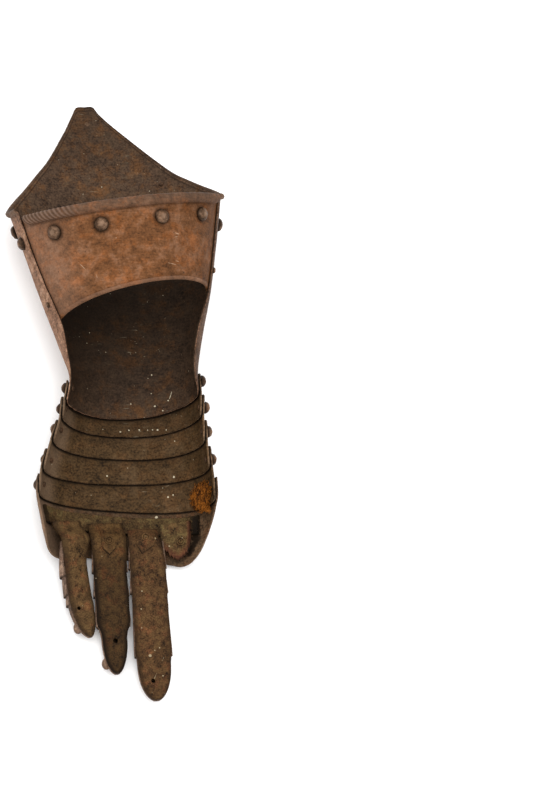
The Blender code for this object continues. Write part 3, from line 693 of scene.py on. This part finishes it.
def rollPoints(y, facingY, base, thick, radius, steps, dent=lambda turn: 0.0):
    start, stop = -90, 180 - math.degrees(math.asin((thick - radius) / radius))
    points = []
    for i in range(steps + 1):
        turn = math.radians(start + (stop - start) * i / steps)
        reach = radius - dent(turn)
        points.append((y - facingY * (radius - reach * math.cos(turn)),
                       base + radius + reach * math.sin(turn)))
    return points


def cuffAngle(turn, y, top):
    return turn * tableAt(cuffReachLeft if turn < 0 else cuffReachRight, y)[0] / top


cuffPlan = dict(stations=260, rows=54, rimRows=10, rimRun=0.006, roll=14, top=105, ease=0.0003,
                nick=0.00025, nicks=170, wave=0.00012, waves=0.35, lean=0.30, crease=0.0014,
                creasePaintedShade=(0.75, 0, 0.0009), rollPaintedShade=0.55, rollLess=0.45, rollWearAndHighlight=0.5,
                sidePaintedShade=(0.62, 60, 30))
# how dark the cuff is inside, by y: deepest under the band
cuffShade = ((-0.020, 0.28), (0.0, 0.48), (0.030, 0.68), (0.055, 0.80), (0.090, 0.85), (0.106, 0.50),
             (0.122, 0.0), (0.150, 0.05), (0.172, 0.30), (0.210, 0.35))


def makeCuff():
    rings, shade, grime, rub = [], [], [], []
    top = cuffPlan["top"]
    for i in range(cuffPlan["stations"] + 1):
        turn = top * (2 * i / cuffPlan["stations"] - 1)

        def angleAt(y):
            return cuffAngle(turn, y, top)
        near = rimOf(angleAt(cuffReachLeft[-1][0]))
        far = edgeOf(0, angleAt(edgeRows[0][0]))
        past = max(abs(angleAt(0)) - wristCorner["angle"], 0) / wristCorner["run"]
        far += wristCorner["rise"] * past**2
        far += noise.noise(onForm(turn, far) * cuffPlan["nicks"]) * cuffPlan["nick"]
        stop = near - rimRoll * 1.3
        ys = between(far, stop - cuffPlan["rimRun"], cuffPlan["rows"]) + \
            between(stop - cuffPlan["rimRun"], stop, cuffPlan["rimRows"])[1:]
        ease = cuffPlan["ease"]
        inner = [(far, ease), (far + ease, 0.0)] + [(y, 0.0) for y in ys[1:]]
        outer = [(y, plateThick - rise) for y, rise in inner]
        wave = noise.noise(Vector((turn * cuffPlan["waves"], 4, 1))) * cuffPlan["wave"]
        roll = rollPoints(near, 1, 0, plateThick, rimRoll + wave, cuffPlan["roll"])
        section = inner + roll + outer[::-1]
        rings.append([onForm(angleAt(y), y, offset + hammered(angleAt(y), y)) for y, offset in section])
        # painted shade inside, less towards the right
        lean = 1 - cuffPlan["lean"] * math.sin(math.radians(turn))
        shade.append([tableAt(cuffShade, y)[0] * lean for y, offset in section])
        # painted shade along a crease line inside the rim
        creaseLineShade = [fading(abs(y - stop + cuffPlan["crease"]), *cuffPlan["creasePaintedShade"]) for y, offset in inner]
        along = [k / len(roll) for k in range(len(roll))]
        # painted shade in the curl of the rolled rim and on the outside towards the right
        grime.append(creaseLineShade + [cuffPlan["rollPaintedShade"] - cuffPlan["rollLess"] * share for share in along]
                     + [growing(turn, *cuffPlan["sidePaintedShade"])] * len(outer))
        # wear and painted highlight round the rolled rim
        rub.append([0.0] * len(inner) + [cuffPlan["rollWearAndHighlight"] * share for share in along] + [0.0] * len(outer))
    first, last = len(inner), len(inner) + len(roll)
    piece = skin("cuff_plate", capped(rings, first, last), paints["cuff"],
                 {"shade": shade, "grime": grime, "rub": rub})
    settle(piece, "cuff", "cuff_plate")


bandPlan = dict(stations=420, rows=48, rope=26, border=8, strand=0.0028, twist=1.5, groove=0.00045,
                length=0.150, even=0.6, thin=1e-5, crisp=(1, 25, 15), rivetBelow=0.0125)
# painted shadow at the band's ends under the plate's edge, painted shade in the seam under the rope and in
# its grooves, painted shadow and rust round the rivet heads, darker towards the right
bandDirtAndPaintedShade = dict(end=(0.95, 0.0012, 0.0016), seam=0.55, seamAt=1.7, seamRun=0.0016,
                rivet=(0.55, 0.0046, 0.0022), groove=0.65, right=(0.22, 5, 40))
# wear and painted highlight on the rope's strand crowns, lighter and pinker towards the left, a worn border
bandWearAndPaintedLight = dict(rope=0.22, crisp=0.68, wall=(0.35, 25, 35), border=0.35)
bandRivets = (50.5, 18.5, -16.5, -48)


def makeBand():
    base = -fitGap - plateThick
    rings, grime, rub = [], [], []
    spots = [onForm(180 + turn, bandEdges(turn)[0] - bandPlan["rivetBelow"], -fitGap) for turn in bandRivets]
    rows = bandPlan["rows"]
    for i in range(bandPlan["stations"] + 1):
        turn = band["right"] + (band["left"] - band["right"]) * i / bandPlan["stations"]
        high, low = bandEdges(turn)
        angle = 180 + turn
        free = min(eased((turn - band["ropeRight"] + 6) / 7), eased((band["ropeLeft"] + 5 - turn) / 7))
        hemmed = min(free, eased((band["borderLeft"] + 4 - turn) / 8))
        top = plateThick / 2 + (ropeRoll - plateThick / 2) * free
        bottom = plateThick / 2 + (borderRoll - plateThick / 2) * hemmed
        ys = between(low + borderRoll * 2, high - ropeRoll * 2, rows)
        run = i / bandPlan["stations"] * bandPlan["length"]
        crisp = growing(turn, *bandPlan["crisp"])
        worn = 0.12 + 0.28 * eased(abs(noise.noise(Vector((run * 60, 2, 5)))) * 2.2) + 0.60 * crisp

        def strand(around):
            return abs(math.sin(math.pi * run / bandPlan["strand"] + around * bandPlan["twist"]))

        def groove(around):
            return bandPlan["groove"] * free * worn * (1 - strand(around)) ** 1.5
        inner = [(y, base) for y in ys]
        outer = [(y, base + plateThick) for y in ys]
        rope = rollPoints(high, 1, base, plateThick, top + bandPlan["thin"], bandPlan["rope"], groove)
        border = rollPoints(low, -1, base, plateThick, bottom + bandPlan["thin"], bandPlan["border"])[::-1]
        section = inner + rope + outer[::-1] + border
        ring = laid(angle, section, bandPlan["even"])
        rings.append(ring)
        turns = [math.radians(-90 + 270 * k / bandPlan["rope"]) for k in range(len(rope))]
        toEnd = min(i, bandPlan["stations"] - i) / bandPlan["stations"] * bandPlan["length"]
        end = fading(toEnd, *bandDirtAndPaintedShade["end"])
        least = max(end, growing(-turn, *bandDirtAndPaintedShade["right"]))
        underRope = high - ropeRoll * bandDirtAndPaintedShade["seamAt"]
        seam = [fading(underRope - y, bandDirtAndPaintedShade["seam"] * free, 0, bandDirtAndPaintedShade["seamRun"]) for y, offset in outer]
        rivets = [fading(min((at - spot).length for spot in spots), *bandDirtAndPaintedShade["rivet"])
                  for at in ring[rows + len(rope):2 * rows + len(rope)]]
        grime.append([0.0] * rows
                     + [bandDirtAndPaintedShade["groove"] * free * worn * (1 - strand(t)) ** 2 for t in turns]
                     + [max(a, b, least) for a, b in zip(seam[::-1], rivets)] + [end] * len(border))
        rub.append([0.0] * rows
                   + [free * (bandWearAndPaintedLight["rope"] + bandWearAndPaintedLight["crisp"] * crisp * strand(t) ** 3) for t in turns]
                   + [growing(turn, *bandWearAndPaintedLight["wall"])] * rows + [bandWearAndPaintedLight["border"] * hemmed] * len(border))

    # the border's end closes onto its own start, so both rolls meet the wall's middle
    def shut(ring):
        ropeLen, borderLen = bandPlan["rope"] + 1, bandPlan["border"] + 1
        wall = [(ring[k] + ring[2 * rows + ropeLen - 1 - k]) / 2 for k in range(rows)]
        return wall + [wall[-1]] * ropeLen + wall[::-1] + [wall[0]] * borderLen
    piece = skin("inner_band", [shut(rings[0])] + rings + [shut(rings[-1])], paints["band"],
                 {"grime": grime, "rub": rub})
    settle(piece, "cuff", "inner_band")


bodyOf = ("cuff", "first_lame", "second_lame", "third_lame", "fourth_lame", "knuckles")
makeCuff()
makeBand()
for plate in range(1, 5):
    handPlate("lame_%d" % plate, plate, bodyOf[plate], paints["lame"])
handPlate("knuckle_plate", 5, "knuckles", paints["knuckle"])
print("plates made")

rivetPlan = {      # head radius, height, shank radius
    "pivot": (0.0036, 0.0030, 0.0013),
    "flush": (0.0030, 0.0008, 0.0013),
    "band": (0.0045, 0.0032, 0.0014),
    "cuff": (0.0042, 0.0030, 0.0013),
    "joining": (0.0019, 0.0012, 0.0009),
}
rivetSeat, burrThick, burrSpread, burrTaper, shankStub = 0.0003, 0.0006, 1.35, 0.8, 0.001
rivetLook = dict(seatPaintedShade=(0.85, 0, 0.85), burrDirt=0.35, burrUnder=-0.2, rub=(0.75, 0.88, 0.12),
                 dent=0.00022, dents=700, dentFrom=0.05)


def pickFaces(piece, test):
    # faces chosen by their place or normal, in edit mode
    bpy.ops.mesh.select_all(action="DESELECT")
    bpy.ops.object.mode_set(mode="OBJECT")
    for face in piece.data.polygons:
        face.select = test(face)
    bpy.ops.object.mode_set(mode="EDIT")
    bpy.ops.mesh.select_mode(type="FACE")


def makeRivet(kind):
    # a half ball, pressed flat, with a shank pulled down from under it and its end spread
    head, height, shank = rivetPlan[kind]
    deselect()
    bpy.ops.mesh.primitive_uv_sphere_add(segments=36, ring_count=24, radius=head, location=(0, 0, 0))
    piece = bpy.context.object
    with editing():
        bpy.ops.mesh.bisect(plane_co=(0, 0, 0), plane_no=(0, 0, 1), use_fill=True, clear_inner=True)
        bpy.ops.mesh.select_all(action="SELECT")
        bpy.ops.transform.resize(value=(1, 1, height / head), center_override=(0, 0, 0))
        bpy.ops.transform.translate(value=(0, 0, rivetSeat))
        pickFaces(piece, lambda face: face.normal.z < -0.9)
        bpy.ops.mesh.inset(thickness=head - shank, depth=0)
        for down, spread, level in ((shankStub + rivetSeat, 1, 0), (0, burrSpread, -shankStub),
                                    (burrThick, burrTaper, -shankStub - burrThick)):
            bpy.ops.mesh.extrude_region_move(TRANSFORM_OT_translate={"value": (0, 0, -down)})
            bpy.ops.transform.resize(value=(spread, spread, 1), center_override=(0, 0, level))
    bpy.ops.object.shade_smooth_by_angle(angle=math.radians(50))
    return piece


patterns = {kind: makeRivet(kind) for kind in rivetPlan}
dice = random.Random(4)


def placeRivet(kind, node, spot, up, grip, body, plate=0):
    # spot is degrees and y, up how far outside the form it sits, plate what its direction follows
    height = rivetPlan[kind][1]
    piece = patterns[kind].copy()
    piece.data = patterns[kind].data.copy()
    bpy.context.collection.objects.link(piece)
    piece.name = piece.data.name = nameOf(node)
    under = rivetLook["burrUnder"]

    def rise(at):
        return (at.z - rivetSeat) / height
    # painted shade round the foot of the head, fading towards its top; the burr inside is darker
    addShare(piece, "grime", lambda at: fading(rise(at), *rivetLook["seatPaintedShade"])
             if rise(at) > under else rivetLook["burrDirt"])
    # wear and painted highlight on the top of the head
    addShare(piece, "rub", lambda at: growing(rise(at), *rivetLook["rub"]))
    seed = Vector((dice.random() * 9, 0, 0))
    for vertex in piece.data.vertices:
        at = vertex.co
        if rise(at) < under:
            at.z -= grip - shankStub
        elif rise(at) > rivetLook["dentFrom"]:
            vertex.co += at.normalized() * noise.noise(at * rivetLook["dents"] + seed) * rivetLook["dent"]
    wobble = [dice.uniform(least, most) for least, most in ((0.96, 1.05), (0.96, 1.05), (0.97, 1.03))]
    wobble = Matrix.Diagonal((*wobble, 1))
    turn = Matrix.Rotation(dice.uniform(0, 6.28), 4, "Z")
    piece.data.transform(seatedOn(onForm(*spot, up), outwards(*spot, plate)) @ turn @ wobble)
    piece.data.materials.append(paints["rivet"])
    settle(piece, body, node)


for plate, (left, leftY, right, rightY, rightHead) in enumerate(pivotRows, start=1):
    for sideName, spot, kind in (("left", (left, leftY), "pivot"), ("right", (right, rightY), rightHead)):
        stand, inner = lift(plate, *spot), lift(plate - 1, *spot)
        placeRivet(kind, "pivot_%d_%s" % (plate, sideName), spot, stand + plateThick,
                   stand + plateThick - inner + fitGap, bodyOf[plate], plate)
for number, turn in enumerate(bandRivets, start=1):
    placeRivet("band", "band_rivet_%d" % number, (180 + turn, bandEdges(turn)[0] - bandPlan["rivetBelow"]),
               -fitGap, plateThick + fitGap, "cuff")
# angle, distance below the rim, and how far the inner end is hammered into the plate
cuffRivets = ((-92, 0.020, 0.0), (-72, 0.014, 0.0), (-33, 0.014, 0.0017), (0, 0.013, 0.0008),
              (33, 0.014, 0.0), (72, 0.014, 0.0), (92, 0.020, 0.0))
for number, (angle, below, sunk) in enumerate(cuffRivets, start=1):
    placeRivet("cuff", "cuff_rivet_%d" % number, (angle, rimOf(angle) - below), plateThick,
               plateThick + fitGap - sunk, "cuff")
for sideName, spot in (("left", (-99, 0.047)), ("right", (105, 0.067))):
    placeRivet("joining", "joining_rivet_" + sideName, spot, plateThick, plateThick * 2 + fitGap * 2, "cuff")
for pattern in patterns.values():
    bpy.data.objects.remove(pattern)
print("rivets made")


# a rivet's head under the tip: place before the end, height, radius, shape, and side by finger
domePlan = dict(back=0.0074, height=-0.0030, radius=0.0032, shape=(0.85, 1.1, 0.75), rub=0.3,
                sides={"little": -0.0046, "ring": -0.0054})


def addDome(row, piece):
    radius = domePlan["radius"]
    deselect()
    centre = fingerPoint(row, fingerFrame(row)[3] - domePlan["back"], domePlan["sides"][row["finger"]],
                         domePlan["height"])
    bpy.ops.mesh.primitive_uv_sphere_add(segments=28, ring_count=18, radius=radius, location=(0, 0, 0))
    dome = bpy.context.object
    with editing():
        bpy.ops.transform.resize(value=domePlan["shape"])
        bpy.ops.transform.translate(value=centre)
    bpy.ops.object.shade_smooth()
    dome.data.materials.append(paints["scale"])
    # painted highlight and wear on the dome's upper half
    addShare(dome, "rub", lambda at: growing(at.z, domePlan["rub"], centre.z, radius))
    joined(piece, [dome])


scalePlan = dict(places=22, tipPlaces=24, tipTurn=86, turns=31, roundness=2.4, blunt=1.15,
                 dirt=(0.5, 0, 0.0012), closing=0.35, past=0.0006)


def makeScale(row, index):
    length = fingerFrame(row)[3]
    ends = list(row["ends"]) + [length - scaleThick]
    start = ends[index - 1] - scaleLap if index else 0.0
    stop = ends[index]
    last = index == len(ends) - 1
    places = between(start, stop, scalePlan["places"])
    if last:
        places = nailPlaces(start, stop, scalePlan["places"], scalePlan["tipTurn"], scalePlan["tipPlaces"])
    rings, grime = [], []
    turns = between(-90, 90, scalePlan["turns"])
    for place in places:
        rise = scaleRise(row, index, place)
        depth = rootDepth + growing(place, fullDepth - rootDepth, 0, depthRun)
        ring = []
        for grow, order in ((rise, turns), (rise + scaleThick, turns[::-1])):
            share = nailShare(row, place, grow) if last else 1
            half = (fingerHalf(row, place) + grow) * share
            deep = (depth + grow) * min(share * scalePlan["blunt"], 1)
            for turn in order:
                t = math.radians(turn)
                ring.append(fingerPoint(row, place, half * rounded(math.sin(t), scalePlan["roundness"]),
                                        -deep * rounded(math.cos(t), scalePlan["roundness"])))
        rings.append(ring)
        # painted shade at the far end of each scale but the last, where the next one overlaps it
        grime.append([fading(abs(place - stop), *scalePlan["dirt"]) * (not last)] * len(ring))
    if last:
        middle = sum(rings[-1], Vector()) / len(rings[-1])
        onwards = fingerFrame(row)[1] * scalePlan["past"]
        rings.append([point + onwards - (point - middle) * scalePlan["closing"] for point in rings[-1]])
        grime.append(grime[-1])
    node = "scale_%s_%s" % (row["finger"], "tip" if last else index + 1)
    piece = skin(node, capped(rings), paints["scale"], {"grime": grime})
    if last and row["finger"] in domePlan["sides"]:
        addDome(row, piece)
    settle(piece, "knuckles", node)


strapPlan = dict(over=0.0009, tip=0.0005, crown=0.0012, places=80, tipPlaces=30, tipTurn=84, sides=25,
                 soft=0.00040, softFrom=0.86, softRun=0.14, dirt=(0.62, 0, 0.0035), darkFrom=0.004,
                 darkRun=0.014, startPaintedShade=0.5, startRun=0.0012)
# flaps riveted on the straps' roots: place of the point, side, half width, lean of the point
flapPlan = {"ring": dict(point=0.0088, side=-0.0004, half=0.0042, lean=0.0, hole=-0.0002),
            "middle": dict(point=0.0086, side=-0.0008, half=0.0056, lean=-0.0030, hole=-0.0016)}
# punched and torn holes: place before the end, side, radius
holePlan = {"little": (0.0178, -0.0029, 0.0011), "ring": (0.0199, 0.0, 0.0016),
            "middle": (0.0118, -0.0018, 0.0013)}


def strapPaint(row):
    return paints[nameOf("strap_" + row["finger"])]


def strapTop(row, place, side):
    # a strap's half width, its level and its bumps at a place, side as a share of the half width
    third = row["ends"][2]
    last = eased((place - third) / 0.004)
    half = fingerHalf(row, place) + strapPlan["over"] + (strapPlan["tip"] - strapPlan["over"]) * last
    half *= nailShare(row, place, strapPlan["tip"]) if last else 1
    wide = eased((0.014 - place) / 0.018)
    seed = len(row["finger"]) * 3.7
    wob = noise.noise(Vector((place * 130, side, seed))) * 0.00035 * (1 - last * 0.5)
    wob += wide * row["rootLeft" if side < 0 else "rootRight"]
    bumpy = noise.noise(Vector((place * 90, side * 1.5, seed + 9))) * 0.00035
    low = scaleGap - row["sink"] * eased((-0.0005 - place) / 0.011) + strapPlan["crown"] * (1 - side**2)
    return half + wob, low, bumpy


def ringRivet(centre, direction, paint):
    # the hammered end of a rivet in leather: a raised ring round a smaller one
    rings = []
    for major, minor in ((0.0023, 0.00050), (0.0010, 0.00055)):
        deselect()
        bpy.ops.mesh.primitive_torus_add(major_segments=32, minor_segments=10, major_radius=major,
                                         minor_radius=minor, location=(0, 0, 0))
        ring = bpy.context.object
        # painted shade on the lower half of each ring
        addShare(ring, "grime", lambda at: fading(at.z / minor, 0.95, -0.2, 1.1))
        ring.data.transform(seatedOn(centre, direction) @ Matrix.Diagonal((1, 1, 0.7, 1)))
        ring.data.materials.append(paint)
        bpy.ops.object.shade_smooth()
        rings.append(ring)
    return rings


def makeFlap(row):
    # a pointed flap of leather with a ring rivet, lying on the strap
    plan = flapPlan[row["finger"]]
    rings, grime = [], []
    places = between(row["start"] + 0.0012, plan["point"], 40)
    for place in places:
        share = min(max((plan["point"] - place) / (plan["half"] * 0.95), 0.02), 1)
        middle = plan["side"] + plan["lean"] * (1 - share)
        under, over, dirt = [], [], []
        for step in between(-1, 1, 15):
            side = middle + plan["half"] * share * step
            half, low, bumpy = strapTop(row, place, side / 0.010)
            edge = 0.00015 * max(abs(step) - 0.85, 0) / 0.15
            level = low + leatherThick + bumpy
            under.append(fingerPoint(row, place, side, level - 0.0004))
            over.append(fingerPoint(row, place, side, level + 0.0008 - edge))
            # painted shadow along the flap's edges, towards its point
            dirt.append(fading((1 - abs(step)) * plan["half"] * share, 0.95, 0, 0.0013)
                        * growing(place, 1, plan["point"] - 0.0065, 0.003))
        rings.append(under + over[::-1])
        grime.append(dirt + dirt[::-1])
    flap = skin("flap", capped(rings), strapPaint(row), {"grime": grime}, 50)
    side = plan["side"]
    level = strapTop(row, plan["hole"], side / 0.010)[1] + leatherThick + 0.0010
    return joined(flap, ringRivet(fingerPoint(row, plan["hole"], side, level), Vector((0, 0, 1)),
                                  strapPaint(row)))


def cutHole(piece, row):
    back, side, radius = holePlan[row["finger"]]
    centre = fingerPoint(row, fingerFrame(row)[3] - back, side, 0.001)
    deselect()
    bpy.ops.mesh.primitive_cylinder_add(vertices=20, radius=radius, depth=0.012, location=centre)
    tool = bpy.context.object
    for vertex in tool.data.vertices:
        vertex.co.x += noise.noise(Vector((vertex.co.x * 900, vertex.co.y * 900, 3))) * radius * 0.4
    deselect()
    piece.select_set(True)
    bpy.context.view_layer.objects.active = piece
    cut = piece.modifiers.new("hole", "BOOLEAN")
    cut.object, cut.operation, cut.solver = tool, "DIFFERENCE", "EXACT"
    bpy.ops.object.modifier_apply(modifier="hole")
    bpy.data.objects.remove(tool)


def makeStrap(row):
    length = fingerFrame(row)[3] - scaleThick + strapPlan["tip"]
    rings, grime = [], []
    sides = between(-1, 1, strapPlan["sides"])
    for place in nailPlaces(row["start"], length, strapPlan["places"], strapPlan["tipTurn"],
                            strapPlan["tipPlaces"]):
        # darker along the strap by the row's dark share, and painted shade at its start
        dark = (growing(place, row["dark"], strapPlan["darkFrom"], strapPlan["darkRun"])
                + fading(place, strapPlan["startPaintedShade"], row["start"], strapPlan["startRun"]))
        ring, dirt = [], []
        for layer, order in ((0, sides), (1, sides[::-1])):
            for side in order:
                half, low, bumpy = strapTop(row, place, side)
                soft = strapPlan["soft"] * max(abs(side) - strapPlan["softFrom"], 0) / strapPlan["softRun"]
                height = low + (leatherThick - soft + bumpy if layer else soft)
                ring.append(fingerPoint(row, place, half * side, height))
                rim = max(half * (1 - abs(side)), 0)
                # painted shade along both sides of the strap
                dirt.append(fading(rim, *strapPlan["dirt"]) + dark)
        rings.append(ring)
        grime.append(dirt)
    node = "strap_" + row["finger"]
    piece = skin(node, capped(rings), strapPaint(row), {"grime": grime}, 50)
    cutHole(piece, row)
    if row["finger"] in flapPlan:
        joined(piece, [makeFlap(row)])
    settle(piece, "knuckles", node)


for values in fingerRows:
    finger = dict(zip(fingerColumns, values))
    for index in range(4):
        makeScale(finger, index)
    makeStrap(finger)
print("fingers made")


leatherPlan = {    # reach in degrees, how far inside the plate, raggedness, dirt, a rivet's angle and y
    "knuckle_strap": dict(angles=(-64, 60), below=fitGap, rag=0.0004, dark=0.22),
    "index_stub": dict(angles=(22, 52), below=fitGap * 2 + leatherThick, rag=0.0024, dark=0.0,
                       rivet=(42, -0.0937)),
}
tornPlan = dict(rag=0.0024, edge=(1, 0, 0.0075), side=(1, 0, 5), dirt=(0.7, 0.0002, 0.0012),
                ends=(0.5, 0, 2.5))


def layLeather(node, near, far):
    # a strip inside the knuckle plate, with a torn far edge
    plan = leatherPlan[node]
    rings, torn, grime = [], [], []
    for angle in between(*plan["angles"], 120):
        jag = noise.noise(Vector((angle * 0.35, 7, 2))) * plan["rag"]
        jag += noise.noise(Vector((angle * 1.3, 3, 9))) * plan["rag"] * 0.4
        ys = between(far(angle) + jag, near(angle), 34)
        section = []
        for layer, order in ((0, ys), (1, ys[::-1])):
            for y in order:
                at = onForm(angle, y)
                bumpy = noise.noise(at * 150) * 0.0005
                edge = 0.0004 * (y in (ys[0], ys[-1]))
                level = lift(5, angle, y) - plan["below"]
                section.append((y, level - edge if layer else level - leatherThick + bumpy + edge))
        rings.append([onForm(angle, y, offset) for y, offset in section])
        past = [y - ys[0] for y, offset in section]
        side = fading(plan["angles"][1] - angle, *tornPlan["side"])
        torn.append([plan["rag"] / tornPlan["rag"] * max(fading(y, *tornPlan["edge"]), side) for y in past])
        toEnd = min(angle - plan["angles"][0], plan["angles"][1] - angle)
        # painted shade at both ends of the strip, and the strip's dirt
        dark = fading(toEnd, *tornPlan["ends"]) + plan["dark"]
        # dirt and painted shade along the torn edge
        grime.append([fading(y, *tornPlan["dirt"]) + dark for y in past])
    piece = skin(node, capped(rings), paints["stub"], {"torn": torn, "grime": grime}, 50)
    if "rivet" in plan:
        angle, y = plan["rivet"]
        inside = lift(5, angle, y) - plan["below"] - leatherThick - 0.0005
        joined(piece, ringRivet(onForm(angle, y, inside), -outwards(angle, y, 5), paints["stub"]))
    settle(piece, "knuckles", node)


layLeather("knuckle_strap", lambda angle: edgeOf(4, angle) - 0.0036, lambda angle: edgeOf(4, angle) - 0.0150)
layLeather("index_stub", lambda angle: -0.0815,
           lambda angle: -0.0985 - 0.0065 * eased(1 - abs(angle - 39) / 17))


fibrePlan = dict(count=560, angle=72, width=19, y=-0.0690, reach=0.0092, thick=0.00011, high=0.0030,
                 loop=0.0011, points=10, core=0.86, coreDeep=0.0018, coreHalf=0.0014, coreRough=0.0006)
# every so many fibres lie in the tail: its first angle and y, how far it runs, how wide it is
tailPlan = dict(every=16, angle=79, turn=6.5, wide=2, y=-0.0745, run=0.0060)


def makeFibres():
    # a mat of short curled fibres over a flat core on the last lame's wall
    deselect()
    bpy.ops.curve.primitive_bezier_curve_add(location=(0, 0, 0))
    mat = bpy.context.object
    curve = mat.data
    curve.splines.clear()
    curve.dimensions = "3D"
    curve.bevel_depth, curve.bevel_resolution, curve.use_fill_caps = fibrePlan["thick"], 0, True
    throw = random.Random(11)
    for k in range(fibrePlan["count"]):
        far = math.sqrt(throw.random())
        around = throw.uniform(0, 2 * math.pi)
        angle = fibrePlan["angle"] + fibrePlan["width"] * far * math.cos(around)
        y = fibrePlan["y"] + fibrePlan["reach"] * far * math.sin(around)
        if k % tailPlan["every"] == 0:
            along = throw.random()
            angle = tailPlan["angle"] + tailPlan["turn"] * along
            angle += throw.uniform(-tailPlan["wide"], tailPlan["wide"])
            y = tailPlan["y"] - tailPlan["run"] * along
        up = throw.uniform(0.0006, fibrePlan["high"]) * (1.15 - far**2 * 0.6)
        centre = onForm(angle, y, lift(4, angle, y) - up)
        one = Vector([throw.gauss(0, 1) for _ in range(3)]).normalized()
        two = one.orthogonal().normalized()
        two.rotate(Matrix.Rotation(throw.uniform(0, 6.28), 3, one))
        size = fibrePlan["loop"] * throw.uniform(0.5, 1.5)
        arc = throw.uniform(2.2, 5.4)
        spline = curve.splines.new("POLY")
        spline.points.add(fibrePlan["points"] - 1)
        for i, point in enumerate(spline.points):
            t = arc * i / (fibrePlan["points"] - 1)
            away = (one * math.cos(t) + two * math.sin(t)) * size + one.cross(two) * (size * (t / arc - 0.5))
            point.co = (*(centre + away), 1)
    bpy.ops.object.convert(target="MESH")
    mat = bpy.context.object
    mat.name = mat.data.name = "thumbRemnant"
    rings = []
    for across in between(-1, 1, 24):
        share = math.sqrt(max(1 - across**2, 0.02))
        angle = fibrePlan["angle"] + fibrePlan["width"] * fibrePlan["core"] * across
        ring = []
        for t in between(0, 2 * math.pi, 25)[:-1]:
            y = fibrePlan["y"] + fibrePlan["reach"] * fibrePlan["core"] * share * math.cos(t)
            half = fibrePlan["coreHalf"] * share
            half += noise.noise(onForm(angle, y) * 600) * fibrePlan["coreRough"]
            ring.append(onForm(angle, y, lift(4, angle, y) - fibrePlan["coreDeep"] + half * math.sin(t)))
        rings.append(ring)
    core = skin("core", capped(rings), paints["fibre"])
    mat.data.materials.clear()
    mat.data.materials.append(paints["fibre"])
    joined(mat, [core])
    settle(mat, "fourth_lame", "thumb_remnant")


makeFibres()
print("leather and fibre made")

stagePlan = dict(floor=6.0, level=0.0, ground=(0.97, 0.97, 0.97), rough=0.9, world=1.2)
deselect()
bpy.ops.mesh.primitive_plane_add(size=stagePlan["floor"], location=(0, 0, stagePlan["level"]))
floor = bpy.context.object
floor.name = "floor"
floorPaint = bpy.data.materials.new("paleFloor")
floorPaint.use_nodes = True
surface = floorPaint.node_tree.nodes["Principled BSDF"].inputs
surface["Base Color"].default_value = (*stagePlan["ground"], 1)
surface["Roughness"].default_value = stagePlan["rough"]
floor.data.materials.append(floorPaint)

world = bpy.data.worlds.new("studio")
bpy.context.scene.world = world
world.use_nodes = True
sky = world.node_tree.nodes["Background"].inputs
sky["Color"].default_value = (1, 1, 1, 1)
sky["Strength"].default_value = stagePlan["world"]

lightPlan = (   # name, place, size, power
    ("keyLight", (-0.5, 0.3, 1.6), 1.5, 14),
    ("fillLight", (0.35, -0.1, 1.7), 1.5, 9),
)
for name, place, size, power in lightPlan:
    bpy.ops.object.light_add(type="AREA", location=place)
    lamp = bpy.context.object
    lamp.name = name
    lamp.data.shape = "DISK"
    lamp.data.size = size
    lamp.data.energy = power
    lamp.rotation_euler = (-Vector(place)).to_track_quat("-Z", "Y").to_euler()

cameraPlan = dict(place=(-0.25315, -0.4298, 1.3033), right=(0.96875, -0.08690, 0.23232),
                  up=(0.01025, 0.94985, 0.31254), lens=100)
bpy.ops.object.camera_add()
camera = bpy.context.object
camera.name = "camera"
right, up = Vector(cameraPlan["right"]), Vector(cameraPlan["up"])
camera.matrix_world = Matrix.Translation(cameraPlan["place"]) @ Matrix(
    (right, up, right.cross(up))).transposed().to_4x4()
camera.data.lens = cameraPlan["lens"]
camera.data.sensor_width = 36
bpy.context.scene.camera = camera
bpy.context.scene.view_settings.view_transform = "Standard"
bpy.context.scene.view_settings.look = "None"
print("stage set")
